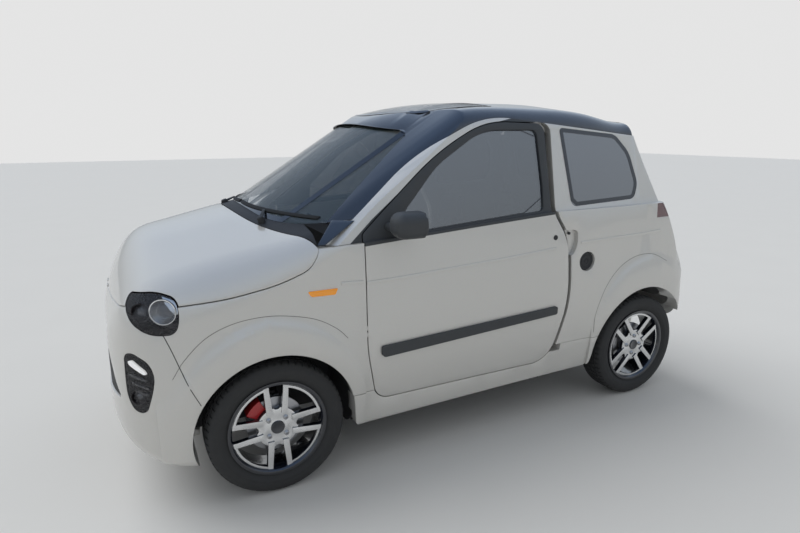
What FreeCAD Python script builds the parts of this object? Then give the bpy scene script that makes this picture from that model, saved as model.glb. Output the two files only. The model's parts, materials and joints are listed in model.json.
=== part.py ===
import FreeCAD, Part
import math
import os
from FreeCAD import Vector

os.makedirs("parts", exist_ok=True)

# Driving dimensions, millimetres. +X forward, +Y to the car's left, +Z up, origin on the ground.
half_length = 1480.0
front_axle_x = 888.0
rear_axle_x = -1142.0
tyre_radius = 283.5
tyre_width = 155.0
bead_radius = 190.5
wheel_face_y = 720.0
shut_gap = 5.0
seat_gap = 0.3
panel_wall = 28.0
cabin_wall = 60.0
roof_wall = 38.0
glass_wall = 5.0
floor_half_width = 630.0
far = 3000.0


# Drawing helpers
def in_side_view(x, z):
    return Vector(x, 0, z)


def in_rear_view(y, z):
    return Vector(0, y, z)


def in_plan(x, y):
    return Vector(x, y, 0)


def rounded_wire(corners, place):
    """Closed wire through corners (a, b, run): run is the straight length each side that the arc takes."""
    count = len(corners)
    spans = []
    for i, (a, b, run) in enumerate(corners):
        corner = Vector(a, b, 0)
        before = Vector(*corners[i - 1][:2], 0) - corner
        after = Vector(*corners[(i + 1) % count][:2], 0) - corner
        share_before = 0.48 if corners[i - 1][2] else 0.96
        share_after = 0.48 if corners[(i + 1) % count][2] else 0.96
        run = min(run, share_before * before.Length, share_after * after.Length)
        if run == 0:
            spans.append((corner, None, corner))
            continue
        before.normalize()
        after.normalize()
        half = before.getAngle(after) / 2
        inward = (before + after).normalize()
        middle = corner + inward * (run / math.cos(half) - run * math.tan(half))
        spans.append((corner + before * run, middle, corner + after * run))
    edges = []
    for i, (start, middle, end) in enumerate(spans):
        following = spans[(i + 1) % count][0]
        if middle is not None:
            points = [place(p.x, p.y) for p in (start, middle, end)]
            edges.append(Part.Arc(*points).toShape())
        if (following - end).Length > 1e-6:
            edges.append(Part.makeLine(place(end.x, end.y), place(following.x, following.y)))
    return Part.Wire(edges)


def prism(corners, place, start, end, grow=0.0):
    """Solid from an outline, swept along the view's normal from start to end."""
    corners = [corner if len(corner) == 3 else (*corner, 0) for corner in corners]
    wire = rounded_wire(corners, place)
    if grow:
        wire = wire.makeOffset2D(grow)
    normal = {in_side_view: Vector(0, 1, 0), in_rear_view: Vector(1, 0, 0), in_plan: Vector(0, 0, 1)}[place]
    face = Part.Face(wire)
    face.translate(normal * start)
    return face.extrude(normal * (end - start))


def block(x0, x1, y0, y1, z0, z1):
    return Part.makeBox(x1 - x0, y1 - y0, z1 - z0, Vector(x0, y0, z0))


def rod(start, end, radius):
    start = Vector(*start)
    along = Vector(*end) - start
    return Part.makeCylinder(radius, along.Length, start, along)


def join(shapes):
    shapes = list(shapes)
    return shapes[0].multiFuse(shapes[1:]).removeSplitter() if len(shapes) > 1 else shapes[0]


def mirrored(shape):
    return shape.mirror(Vector(0, 0, 0), Vector(0, 1, 0))


def both_sides(shape):
    return Part.makeCompound([shape, mirrored(shape)])


def save(name, shape):
    solids = [solid for solid in shape.Solids if solid.Volume > 2000]
    shape = solids[0] if len(solids) == 1 else Part.makeCompound(solids)
    print(name, len(solids), "solids", round(shape.Volume / 1000, 1), "cm3")
    shape.exportStep("parts/" + name + ".step")


# Lower body sections, from the tail to the nose
# x, bottom z, bottom y, waist y, waist z, shoulder y, shoulder z, crown z, then the runs of the four corners,
# then the side crease: its share of the way from waist to shoulder, and how far it stands out
lower_sections = [
    (-1480, 290, 520, 600, 430, 590, 530, 545, 40, 40, 30, 200, 0.50, 0),
    (-1462, 250, 610, 678, 440, 658, 600, 622, 50, 50, 40, 200, 0.50, 0),
    (-1425, 225, 660, 716, 450, 702, 745, 778, 60, 80, 50, 200, 0.57, 0),
    (-1350, 200, 680, 733, 470, 714, 945, 985, 60, 120, 60, 200, 0.69, 1),
    (-1240, 185, 690, 738, 480, 714, 1120, 1165, 60, 150, 60, 200, 0.70, 5),
    (-500, 174, 690, 743, 500, 706, 1160, 1215, 60, 150, 60, 200, 0.606, 9),
    (300, 174, 690, 744, 500, 708, 1150, 1210, 60, 150, 60, 200, 0.551, 8),
    (750, 172, 690, 743, 500, 732, 1035, 1175, 60, 150, 110, 300, 0.60, 0),
    (1000, 168, 685, 740, 500, 720, 975, 1134, 60, 150, 150, 300, 0.50, 0),
    (1200, 158, 672, 723, 500, 694, 925, 1092, 60, 130, 150, 300, 0.47, 0),
    (1330, 190, 628, 688, 500, 648, 875, 1046, 60, 110, 130, 250, 0.50, 0),
    (1410, 238, 556, 622, 500, 572, 805, 938, 60, 90, 100, 200, 0.47, 0),
    (1460, 300, 455, 512, 500, 465, 715, 810, 50, 50, 70, 150, 0.47, 0),
    (1480, 360, 350, 400, 500, 365, 640, 710, 40, 40, 50, 100, 0.50, 0),
]
# Greenhouse sections: x, side y at the foot, cantrail y, cantrail z, roof centre z, cantrail run
roof_sections = [
    (1160, 722, 650, 1180, 1210, 80),
    (560, 722, 610, 1400, 1425, 80),
    (278, 722, 600, 1470, 1497, 90),
    (60, 722, 594, 1532, 1583, 90),
    (-200, 722, 588, 1558, 1616, 90),
    (-500, 722, 586, 1556, 1621, 90),
    (-850, 722, 588, 1528, 1598, 80),
    (-1085, 722, 592, 1492, 1556, 60),
]
tail_sections = [
    (-1085, 722, 592, 1492, 1556, 60),
    (-1145, 720, 622, 1345, 1400, 60),
    (-1215, 716, 660, 1185, 1240, 60),
    (-1290, 700, 690, 1020, 1075, 40),
]
foot_z = 950.0


def lower_section(row, inset):
    x, z0, y0, y1, z1, y2, z2, z3, run0, run1, run2, run3, share, push = row
    crease = (y1 + (y2 - y1) * share + push - inset, z1 + (z2 - inset - z1) * share, 0)
    left = [(y0 - inset, z0 + inset, run0), (y1 - inset, z1, run1), crease, (y2 - inset, z2 - inset, run2)]
    right = [(-y, z, run) for y, z, run in reversed(left)]
    station = x * (1 - inset / half_length)
    return rounded_wire(left + [(0, z3 - inset, run3)] + right, lambda y, z: Vector(station, y, z))


def upper_section(row, inset):
    x, foot_y, rail_y, rail_z, top_z, run = row
    left = [(foot_y - inset, foot_z - inset, 0), (rail_y - inset, rail_z - inset, run)]
    right = [(-y, z, r) for y, z, r in reversed(left)]
    return rounded_wire(left + [(0, top_z - inset, 250)] + right, lambda y, z: Vector(x, y, z))


def lower_body(inset):
    return Part.makeLoft([lower_section(row, inset) for row in lower_sections], True, False)


def upper_body(inset, slip):
    roof = Part.makeLoft([upper_section(row, inset) for row in roof_sections], True, False)
    tail = Part.makeLoft([upper_section(row, inset) for row in tail_sections], True, False)
    if slip:
        tail.translate(Vector(slip, 0, 0))
    return roof.fuse(tail)


# Windscreen: an upright bow in plan, laid back at the rake
screen_foot = (880.0, 1118.0)
screen_head = (278.0, 1494.0)
screen_bow_radius = 1200.0


def screen_cylinder(inset):
    """Everything behind the windscreen's outer face, moved back by inset."""
    rake = Vector(screen_foot[0] - screen_head[0], 0, screen_foot[1] - screen_head[1])
    rake.normalize()
    normal = Vector(-rake.z, 0, rake.x)
    middle = Vector(screen_head[0], 0, screen_head[1]) - normal * (screen_bow_radius + inset)
    return Part.makeCylinder(screen_bow_radius, 2 * far, middle - rake * far, rake)


# Outlines: corners (across, up, run of the arc)
door_outline = [
    (500, 1050, 12), (500, 560, 60), (455, 322, 60), (-495, 322, 100), (-592, 650, 120), (-572, 940, 70),
    (-487, 1075, 40), (-487, 1492, 45), (-150, 1500, 120), (120, 1365, 150),
]
belt_line = [(720, 1012), (500, 1020), (190, 1038), (-450, 1080), (-1400, 1086)]
rail_line = [(640, 1018), (190, 1375, 200), (-160, 1530, 150), (-1100, 1432)]
door_window = [
    (300, 1036, 20), (300, 1130, 8), (120, 1318, 60), (-90, 1442, 60), (-180, 1463.5, 40), (-440, 1463.5, 30),
    (-448, 1200, 60), (-440, 1088, 20),
]
quarter_window = [
    (-618, 1096, 30), (-580, 1474, 20), (-955, 1440, 30), (-1045, 1350, 40), (-1085, 1190, 30), (-1050, 1112, 30),
]
screen_window = [
    (-615, 1045, 30), (-455, 1462, 40), (0, 1505, 430), (455, 1462, 40), (615, 1045, 30),
]
roof_window = [(80, 425, 40), (-330, 430, 60), (-330, -430, 60), (80, -425, 40), (215, 0, 400)]
tailgate_outline = [
    (-480, 1700), (480, 1700), (500, 1480, 60), (600, 1085, 90), (585, 720, 70), (-585, 720, 70),
    (-600, 1085, 90), (-500, 1480, 60),
]
rear_window = [(-430, 1455, 50), (430, 1455, 50), (525, 1120, 60), (-525, 1120, 60)]
bonnet_side = [
    (1450, 798), (1391, 827, 20), (1225, 838, 25), (1045, 853, 60), (862, 888, 60), (735, 935, 50), (692, 1000, 30),
    (692, 1300),
]
fender_outline = [
    (430, 369), (430, 720), (505, 720), (505, 1019), (693, 1011), (693, 1300), (1290, 1300), (1290, 300), (700, 300),
    (700, 369),
]
sill_outline = [(566, 366), (-570, 366), (-570, 401), (-812, 401), (-780, 240, 30), (550, 205, 30)]
tail_joint_x = -1085.0
front_shut_z = 798.0
arch_radius = {front_axle_x: 330.0, rear_axle_x: 350.0}

lower_outer = lower_body(0)
lower_skin = lower_outer.cut(lower_body(panel_wall))
lower_wall = lower_outer.cut(lower_body(cabin_wall).fuse(block(-1250, 700, -640, 640, 900, 1500)))
upper_outer = upper_body(0, 0).common(screen_cylinder(0))
upper_inner = upper_body(roof_wall, 30).common(screen_cylinder(roof_wall))
upper_wall = upper_outer.cut(upper_inner)


def side(corners, grow=0.0):
    return prism(corners, in_side_view, 0, 900, grow)


def side_window(corners, grow=0.0):
    return prism(corners, in_side_view, 400, 900, grow)


below_belt = side([(1600, 0), (-1600, 0), (-1600, 1086)] + belt_line[::-1] + [(1600, 1010)])
above_belt = side(belt_line + [(-1600, 1086), (-1600, 1800), (1600, 1800), (1600, 1010)])
above_rail = prism(rail_line + [(-1300, 1420), (-1300, 1800), (1300, 1800), (1300, 1018)], in_side_view, -900, 900)
door_space = side(door_outline)
door_clear = side(door_outline, shut_gap)


def either_side(cut):
    return [cut, mirrored(cut)]


front_arch, rear_arch = [rod((x, 380, tyre_radius), (x, 900, tyre_radius), r) for x, r in arch_radius.items()]


# Flares over the wheels: cones round each arch, cut from the body form stood out by the flare's height.
# Arch, centre x and z, radius at the foot, half of the flare (from x, to x), foot y at the centre, turn in plan
flare_height = 15.0
flare_slope = 2.2
flare_reach = 60.0
flare_rows = [
    ("front", 913.0, 352.0, 405.0, 512, 913, 739.0, 0.0),
    ("front", 913.0, 352.0, 405.0, 913, 1330, 739.0, -6.0),
    ("rear", -1165.0, 420.0, 388.0, -1165, -770, 737.0, 0.0),
    ("rear", -1165.0, 420.0, 388.0, -1450, -1165, 737.0, 4.5),
]
flare_body = lower_body(-flare_height)
flare_body.translate(Vector(0, 0, 20))
cones = {"front": [], "rear": []}
for arch, x, z, radius, from_x, to_x, foot_y, turn in flare_rows:
    cone = Part.makeCone(radius + flare_slope * flare_reach, radius - flare_slope * flare_reach, 2 * flare_reach,
                         Vector(x, foot_y - flare_reach, z), Vector(0, 1, 0))
    cone.rotate(Vector(x, foot_y, z), Vector(0, 0, 1), turn)
    cones[arch].append(cone.common(block(from_x, to_x, 650, 900, 215, 900)))
flare_inner = lower_body(20)
flares = {arch: Part.makeCompound(halves).common(flare_body).cut(flare_inner) for arch, halves in cones.items()}


def flared(panel, arch, zone, both=False):
    """Panel with the part of the arch's flare that lies in its own zone."""
    part = flares[arch].common(zone)
    return panel.fuse(either_side(part) if both else part)


# Front lamps: outlines in side view, swept out over the rounded corner at the lamp's aim
lamp_aim = 25.0
lamp_reference_y = 650.0
lamp_outline = [
    (1436, 872, 35), (1300, 888, 60), (1216, 868, 45), (1196, 808, 35), (1212, 742, 35), (1312, 740, 50),
    (1400, 780, 40), (1444, 826, 30),
]
pod_outline = [
    (1446, 660, 25), (1403, 674, 25), (1330, 642, 30), (1306, 590, 40), (1318, 530, 40), (1356, 438, 30),
    (1414, 440, 30), (1442, 500, 40),
]
lamp_depth = 60.0
lamp_seam = 0.6


def corner_prism(outline, grow=0.0):
    """An outline at the lamp's own side position, swept along the lamp's aim."""
    lean = math.tan(math.radians(lamp_aim))
    wire = rounded_wire(outline, in_side_view)
    if grow:
        wire = wire.makeOffset2D(grow)
    face = Part.Face(wire)
    face.translate(Vector(lean * (380 - lamp_reference_y), 380, 0))
    return face.extrude(Vector(lean, 1, 0) * 520)


lamp_cuts = [corner_prism(lamp_outline, lamp_seam), corner_prism(pod_outline, lamp_seam)]
inside_lamps = lower_body(lamp_depth)
lamps = [corner_prism(outline).common(lower_outer).cut(inside_lamps) for outline in (lamp_outline, pod_outline)]
save("front_lamps", Part.makeCompound([both_sides(lamp) for lamp in lamps]))

# Bonnet: the clamshell above the fenders, hinged along its front shut line
cowl_bow_radius = 1200.0
cowl_front_x = 925.0
bonnet_hinge_x = 1458.0
pin_radius = 2.2
hinge_length = 40.0


def cowl_cylinder(gap):
    middle = cowl_front_x - cowl_bow_radius
    return Part.makeCylinder(cowl_bow_radius + gap, 1200, Vector(middle, 0, 400))


def bonnet_region(rise):
    edge = [(x, z + rise, *run) for x, z, *run in bonnet_side[:-1]]
    return prism([(1600, front_shut_z + rise)] + edge + [(690, 1300), (1600, 1300)], in_side_view, -900, 900)


bonnet = lower_skin.common(bonnet_region(shut_gap))
bonnet = bonnet.cut([cowl_cylinder(shut_gap)] + either_side(corner_prism(lamp_outline, shut_gap)))
save("bonnet", bonnet)

# Front bumper, with the opening for the grille and the air intake below it
nose_zone = prism([(1700, 0), (1700, front_shut_z), bonnet_side[0], (1391, 827), (1290, 834), (1284, 745, 10),
                   (1160, 440), (1160, 0)], in_side_view, -900, 900)
grille_outline = [
    (-565, 476, 25), (-475, 600, 60), (-385, 706, 40), (385, 706, 40), (475, 600, 60), (565, 476, 25),
]
intake_outline = [(-330, 325, 30), (-370, 425, 30), (370, 425, 30), (330, 325, 30)]
openings = [prism(outline, in_rear_view, 1300, 1600, seat_gap) for outline in (grille_outline, intake_outline)]
cuts = [cut for half in [front_arch] + lamp_cuts for cut in either_side(half)]
bumper = flared(lower_skin.common(nose_zone), "front", nose_zone, True).cut(cuts + openings)
bonnet_hinge_z = front_shut_z + shut_gap / 2
hinges = []
for y in (-70.0, 30.0):
    hinges.append(rod((bonnet_hinge_x, y, bonnet_hinge_z), (bonnet_hinge_x, y + hinge_length, bonnet_hinge_z),
                      pin_radius))
    hinges.append(block(bonnet_hinge_x - 2, bonnet_hinge_x + 1.5, y, y + hinge_length,
                        bonnet_hinge_z - 8, bonnet_hinge_z))
save("front_bumper", bumper.fuse(hinges))

# Grille: a slatted panel that fills the opening, and a mesh bar panel in the intake
slat_pitch = 22.0
slat_height = 8.0
grille_depth = 20.0
grille_front = lower_body(6)
grille_back = lower_body(grille_depth)


def slat_gaps(low, high, half_width):
    gaps = []
    z = low + slat_pitch
    while z < high - slat_pitch:
        gaps.append(block(1300, 1600, -half_width, half_width, z, z + slat_pitch - slat_height))
        z += slat_pitch
    return gaps


grille = Part.makeCompound([prism(outline, in_rear_view, 1300, 1600) for outline in (grille_outline, intake_outline)])
grille = grille.common(grille_front).cut([grille_back] + slat_gaps(476, 706, 370) + slat_gaps(325, 425, 300))
save("grille", grille)

# Fenders
fender_zone = side(fender_outline)
fender = flared(lower_skin.common(fender_zone), "front", fender_zone)
fender = fender.cut([bonnet_region(0), nose_zone, front_arch, lamp_cuts[0], door_clear])
door_hinge = (502.5, 739.0)
hinges = []
for low in (624.0, 652.0):
    high = low + 20
    hinges.append(rod((*door_hinge, low), (*door_hinge, high), pin_radius))
    hinges.append(block(door_hinge[0], door_hinge[0] + 8, door_hinge[1] - 14, door_hinge[1], low, high))
save("fenders", both_sides(fender.fuse(hinges)))

# Sills
sill_zone = side(sill_outline).common(block(-900, 700, floor_half_width + seat_gap, 900, 0, 500))
sill = flared(flared(lower_wall.common(sill_zone), "front", sill_zone), "rear", sill_zone)
sill = sill.cut([door_clear, front_arch, rear_arch])
save("sills", both_sides(sill))

# Doors: the panel's lower wall and window frame in one, with the glass let in
glass_recess = 8.0
door_glass_shell = upper_body(glass_recess, 0).cut(upper_body(glass_recess + glass_wall, 0))
glass_shell = upper_outer.cut(upper_body(glass_wall, glass_wall))
lower_door = lower_wall.common(door_space.common(below_belt))
upper_door = upper_wall.common(door_space.common(above_belt))
door = join([lower_door, upper_door.cut(side_window(door_window))])
door_glass = door_glass_shell.common(side_window(door_window, -seat_gap))
save("door_left", door)
save("door_right", mirrored(door))
save("door_glass_left", door_glass)
save("door_glass_right", mirrored(door_glass))

# Quarter panels: B pillar, body side over the rear wheel and D pillar in one
tailgate_space = prism(tailgate_outline, in_rear_view, -1700, tail_joint_x)
tailgate_clear = prism(tailgate_outline, in_rear_view, -1700, tail_joint_x + shut_gap, shut_gap)
rear_bumper_outline = [(-1700, 0), (-1700, 560), (-1400, 560, 30), (-1380, 500, 0), (-1380, 0)]
rear_bumper_zone = prism(rear_bumper_outline, in_side_view, -900, 900)
quarter_zone = side([(-440, 401 + 2), (-440, 1900), (-1700, 1900), (-1700, 403)])
quarter_low = flared(lower_wall.common(below_belt.common(quarter_zone)), "rear", quarter_zone)
quarter_high = upper_wall.common(above_belt.common(quarter_zone)).cut([above_rail, side_window(quarter_window)])
quarter = join([quarter_low, quarter_high])
tail_lamp_outline = [(618, 1000, 15), (618, 1083, 0), (760, 1083, 0), (760, 1010, 0)]
tail_lamp_x = (-1500.0, -1190.0)
tail_lamp_cut = prism(tail_lamp_outline, in_rear_view, *tail_lamp_x)
rear_middle = block(-1700, -1000, -585, 585, 0, 726)
cuts = [door_clear, rear_arch, tailgate_clear, rear_bumper_zone, tail_lamp_cut, rear_middle]
for angle in (3.0, 9.0):
    swept = door_clear.common(block(-700, 0, 400, 900, 0, 1600))
    swept.rotate(Vector(*door_hinge, 0), Vector(0, 0, 1), -angle)
    cuts.append(swept)
handle_recess = [(-540, 990, 12), (-636, 985, 22), (-633, 909, 30), (-612, 862, 22), (-540, 846, 12)]
recess_floor_y = 704.0
quarter = quarter.cut(cuts + [prism(handle_recess, in_side_view, recess_floor_y, 900)])
cap_centre = (-703.0, 820.0)
cap_radius = 50.0
cap_floor_y = 716.0
pocket = rod((cap_centre[0], cap_floor_y, cap_centre[1]), (cap_centre[0], 900, cap_centre[1]), cap_radius)
quarter = max(quarter.Solids, key=lambda solid: solid.Volume)
save("quarter_panels", Part.makeCompound([quarter.cut(pocket), mirrored(quarter)]))
quarter_glass = glass_shell.common(side_window(quarter_window, -seat_gap))
save("quarter_glass", both_sides(quarter_glass))

# Rear bumper
rear_middle_low = block(-1700, -1380, -585, 585, 0, 715)
rear_bumper = lower_skin.common(rear_bumper_zone.fuse(rear_middle_low))
rear_bumper = flared(rear_bumper, "rear", rear_bumper_zone, True).cut(either_side(rear_arch))
save("rear_bumper", rear_bumper)

# Tailgate: lower panel, window frame and roof-end spoiler in one, hinged along the roof's rear edge
spoiler_corners = [(-1085, 505), (-1130, 495, 30), (-1152, 0, 400), (-1130, -495, 30), (-1085, -505)]
spoiler_wall = 30.0
spoiler_run = 72.0
tailgate_low = lower_skin.common(tailgate_space.common(block(-1600, -1000, -900, 900, 400, 1085)))
tailgate_high = upper_wall.common(tailgate_space.common(block(-1600, tail_joint_x, -900, 900, 1000, 1700)))
tailgate = join([tailgate_low, tailgate_high]).cut(prism(rear_window, in_rear_view, -1700, -1000))
roof_end = upper_outer.common(block(tail_joint_x + 3, tail_joint_x + 3 + spoiler_run, -520, 520, 1400, 1700))
lowered = roof_end.copy()
lowered.translate(Vector(0, 0, -spoiler_wall))
spoiler = roof_end.cut(lowered)
spoiler.translate(Vector(-spoiler_run - 6, 0, -3))
spoiler = spoiler.common(prism(spoiler_corners, in_plan, 1300, 1700))
save("tailgate", join([tailgate, spoiler]))
tailgate_glass = glass_shell.common(prism(rear_window, in_rear_view, -1700, -1000, -seat_gap))
save("tailgate_glass", tailgate_glass)

# Roof: body-coloured side rails, black shell with A-pillar bands, glass front section
roof_zone = block(tail_joint_x + shut_gap, 690, -900, 900, 900, 1700)
rail = upper_wall.common(above_belt.common(block(-440, 660, 0, 900, 1000, 1700)))
rail = rail.cut([above_rail, door_clear])
save("roof_frame", both_sides(rail))
roof = upper_wall.common(above_rail.common(roof_zone))
roof = roof.cut([lower_outer, tailgate_clear, prism(screen_window, in_rear_view, 0, 1300),
                 prism(roof_window, in_plan, 1300, 1700)])
tail_hinge = (tail_joint_x + shut_gap / 2, 1539.5)
hinges = []
for y in (-60.0, 20.0):
    hinges.append(rod((tail_hinge[0], y, tail_hinge[1]), (tail_hinge[0], y + hinge_length, tail_hinge[1]), pin_radius))
    hinges.append(block(tail_hinge[0], tail_hinge[0] + 6, y, y + hinge_length,
                        tail_hinge[1] - 12, tail_hinge[1] - 1))
save("roof_panel", roof.fuse(hinges))
roof_glass = glass_shell.common(prism(roof_window, in_plan, 1300, 1700, -seat_gap))
save("roof_glass", roof_glass)
windscreen = prism(screen_window, in_rear_view, 0, 1300, -seat_gap).common(upper_outer)
save("windscreen", windscreen.cut([screen_cylinder(glass_wall), lower_outer]))

# Cowl between the bonnet and the windscreen
cowl_zone = bonnet_region(2).common(cowl_cylinder(0).common(block(697, 1000, -705, 705, 960, 1200)))
cowl = lower_skin.common(cowl_zone).cut(upper_outer)
save("cowl", cowl)

# Tail lamps at the rear corners
tail_lamp = prism(tail_lamp_outline, in_rear_view, *tail_lamp_x, -seat_gap).common(lower_outer).cut(inside_lamps)
save("tail_lamps", both_sides(tail_lamp))

# Wheels: everything is drawn on the left, about the wheel's own centre, and set down at each axle end
wheel_centre_y = wheel_face_y - tyre_width / 2
bead_half_width = 62.0
flange_height = 12.5
rim_wall = 8.0
face_front = 57.0
face_back = 34.0
hub_radius = 86.0
spoke_pairs = 4
spoke_root = (17.0, 43.0)
spoke_tip = (31.0, 52.0)
ring_width = 9.0
lug_circle = 100.0
lug_hole_radius = 8.5
spindle_radius = 15.0
disc_radius = 118.0
disc_inner_y = 5.0
disc_outer_y = 15.0


def turned(profile):
    """Ring turned about the wheel's axis from points (y, radius)."""
    points = [Vector(0, y, r) for y, r in profile]
    face = Part.Face(Part.makePolygon(points + points[:1]))
    return face.revolve(Vector(0, 0, 0), Vector(0, 1, 0), 360)


def make_tyre():
    half = tyre_width / 2
    seat = bead_half_width - seat_gap
    side = [(seat, bead_radius + seat_gap), (seat, bead_radius + flange_height + 2), (half - 2, 226), (half, 241),
            (half - 5, 270), (half - 24, tyre_radius)]
    return turned(side + [(-y, r) for y, r in reversed(side)])


def make_rim(turn):
    lip = bead_radius + flange_height
    inner = bead_radius - rim_wall
    side = [(bead_half_width, bead_radius), (bead_half_width, lip), (bead_half_width + 7, lip),
            (bead_half_width + 5, bead_radius), (bead_half_width - 8, inner)]
    barrel = turned([(-y, r) for y, r in reversed(side)] + side)
    face = rod((0, face_back - 12, 0), (0, face_front - 6, 0), hub_radius)
    for i in range(spoke_pairs):
        for sign in (-1, 1):
            corners = [(sign * spoke_root[0], 60), (sign * spoke_root[1], 60),
                       (sign * spoke_tip[1], inner + 3), (sign * spoke_tip[0], inner + 3)]
            spoke = prism(corners, in_side_view, face_back, face_front)
            spoke.rotate(Vector(0, 0, 0), Vector(0, 1, 0), 360 / spoke_pairs * i)
            face = face.fuse(spoke.common(rod((0, 0, 0), (0, 100, 0), inner + rim_wall / 2)))
    ring = rod((0, face_back, 0), (0, face_front, 0), inner + 0.5).cut(rod((0, 0, 0), (0, 100, 0), inner - ring_width))
    ring_gaps = []
    for i in range(spoke_pairs):
        gap = prism([(-spoke_tip[0] + 2, 150), (spoke_tip[0] - 2, 150), (spoke_tip[0] - 2, 230),
                     (-spoke_tip[0] + 2, 230)], in_side_view, 0, 100)
        gap.rotate(Vector(0, 0, 0), Vector(0, 1, 0), 360 / spoke_pairs * i)
        ring_gaps.append(gap)
    face = face.fuse(ring.cut(ring_gaps))
    hub = rod((0, disc_inner_y - 6, 0), (0, face_back, 0), 55)
    disc = rod((0, disc_inner_y, 0), (0, disc_outer_y, 0), disc_radius)
    rim = join([barrel, face, hub, disc])
    rim = rim.cut(rod((0, -60, 0), (0, face_front - 18, 0), spindle_radius + seat_gap))
    for i in range(4):
        angle = math.radians(45 + 90 * i)
        x = lug_circle / 2 * math.sin(angle)
        z = lug_circle / 2 * math.cos(angle)
        rim = rim.cut(rod((x, face_front - 16, z), (x, face_front, z), lug_hole_radius))
        pocket = prism([(-spoke_root[0] + 1, 250), (-spoke_root[0] + 1, 78, 15), (spoke_root[0] - 1, 78, 15),
                        (spoke_root[0] - 1, 250)], in_side_view, face_back - 12, face_front)
        pocket = pocket.common(rod((0, 0, 0), (0, face_front, 0), hub_radius))
        pocket.rotate(Vector(0, 0, 0), Vector(0, 1, 0), 90 * i)
        rim = rim.cut(pocket)
    rim.rotate(Vector(0, 0, 0), Vector(0, 1, 0), turn)
    return rim


rear_wheel_turn = 40.0
tyre = make_tyre()
for axle_name, axle_x, turn in (("front", front_axle_x, 0.0), ("rear", rear_axle_x, rear_wheel_turn)):
    seat = Vector(axle_x, wheel_centre_y, tyre_radius)
    for node, shape in (("tyre", tyre.copy()), ("rim", make_rim(turn))):
        shape.translate(seat)
        save(node + "_" + axle_name + "_left", shape)
        save(node + "_" + axle_name + "_right", mirrored(shape))

# Knuckles: upright on two ball pins, spindle for the wheel and brake caliper round the disc
kingpin_y = 600.0
arm_thickness = 15.0
arm_half_width = 17.0
lower_arm_z = 135.0
upper_arm_z = 396.0
pin_r = 6.0
knuckle_low = lower_arm_z + arm_thickness + seat_gap
knuckle_high = upper_arm_z - seat_gap
caliper_angle = 45.0
upright = block(front_axle_x - 26, front_axle_x + 26, kingpin_y - 18, kingpin_y + 24, knuckle_low, knuckle_high)
axle_end = wheel_centre_y + face_front - 20
spindle = rod((front_axle_x, kingpin_y, tyre_radius), (front_axle_x, axle_end, tyre_radius), spindle_radius)
disc_gap = 2.0
caliper_ring = rod((0, kingpin_y + 6, 0), (0, wheel_centre_y + disc_outer_y + 16, 0), 134)
caliper_ring = caliper_ring.cut(rod((0, 0, 0), (0, 900, 0), 88))
caliper_ring = caliper_ring.cut(rod((0, wheel_centre_y + disc_inner_y - disc_gap, 0),
                                    (0, wheel_centre_y + disc_outer_y + disc_gap, 0), disc_radius + disc_gap))
wedge = prism([(0, 0), (-60, 200), (60, 200)], in_side_view, 0, 900)
caliper = caliper_ring.common(wedge)
caliper = caliper.fuse(block(-16, 16, kingpin_y + 6, kingpin_y + 24, 10, 95))
caliper.rotate(Vector(0, 0, 0), Vector(0, 1, 0), caliper_angle)
caliper.translate(Vector(front_axle_x, 0, tyre_radius))
knuckle = join([upright, spindle, caliper])
for low, high in ((lower_arm_z, lower_arm_z + arm_thickness + 30), (upper_arm_z - 30, upper_arm_z + arm_thickness)):
    knuckle = knuckle.cut(rod((front_axle_x, kingpin_y, low), (front_axle_x, kingpin_y, high), pin_r + seat_gap))
save("knuckle_left", knuckle)
save("knuckle_right", mirrored(knuckle))

# Front subframe: rails, cross member, wishbones with their ball pins
rail_y = (290.0, 340.0)
rail_z = (255.0, 310.0)
firewall_x = (520.0, 545.0)
half_frame = [
    block(firewall_x[1], 1300, *rail_y, *rail_z),
    block(1270, 1300, *rail_y, rail_z[0], 470),
    block(1270, 1400, *rail_y, 420, 470),
    block(front_axle_x - 40, front_axle_x + 40, rail_y[0], 384, lower_arm_z, upper_arm_z + arm_thickness),
    block(front_axle_x - 60, front_axle_x + 60, 0, 384, lower_arm_z, lower_arm_z + 30),
    block(1390, 1415, 0, 430, 380, 470),
]
for low, pin_low, pin_high in (
        (lower_arm_z, lower_arm_z, lower_arm_z + arm_thickness + 28),
        (upper_arm_z, upper_arm_z - 28, upper_arm_z + arm_thickness)):
    half_frame.append(block(front_axle_x - arm_half_width, front_axle_x + arm_half_width, 380, kingpin_y,
                            low, low + arm_thickness))
    half_frame.append(rod((front_axle_x, kingpin_y, low), (front_axle_x, kingpin_y, low + arm_thickness),
                          arm_half_width))
    half_frame.append(rod((front_axle_x, kingpin_y, pin_low), (front_axle_x, kingpin_y, pin_high), pin_r))
half_frame = join(half_frame)
save("front_subframe", join([half_frame, mirrored(half_frame)]))

# Engine: one plain block, with its half shafts
save("engine", block(745, 1120, -230, 240, lower_arm_z + 30, 600))

# Floor pan: floor, toe board, load floor and its step
floor_z = (200.0, 222.0)
load_floor_z = (400.0, 418.0)
step_x = (-560.0, -542.0)
wheelhouse_y = 384.0
floor = join([
    block(step_x[0], firewall_x[1], -floor_half_width, floor_half_width, *floor_z),
    block(*firewall_x, -floor_half_width, floor_half_width, floor_z[0], 930),
    block(*step_x, -floor_half_width, floor_half_width, floor_z[0], load_floor_z[1]),
    block(-1385, step_x[1], -wheelhouse_y, wheelhouse_y, *load_floor_z),
] + [block(x - 30, x + 30, y - 30, y + 30, floor_z[0] - 20, floor_z[0]) for x in (440, -500) for y in (-590, 590)])
save("floor_pan", floor)

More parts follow.
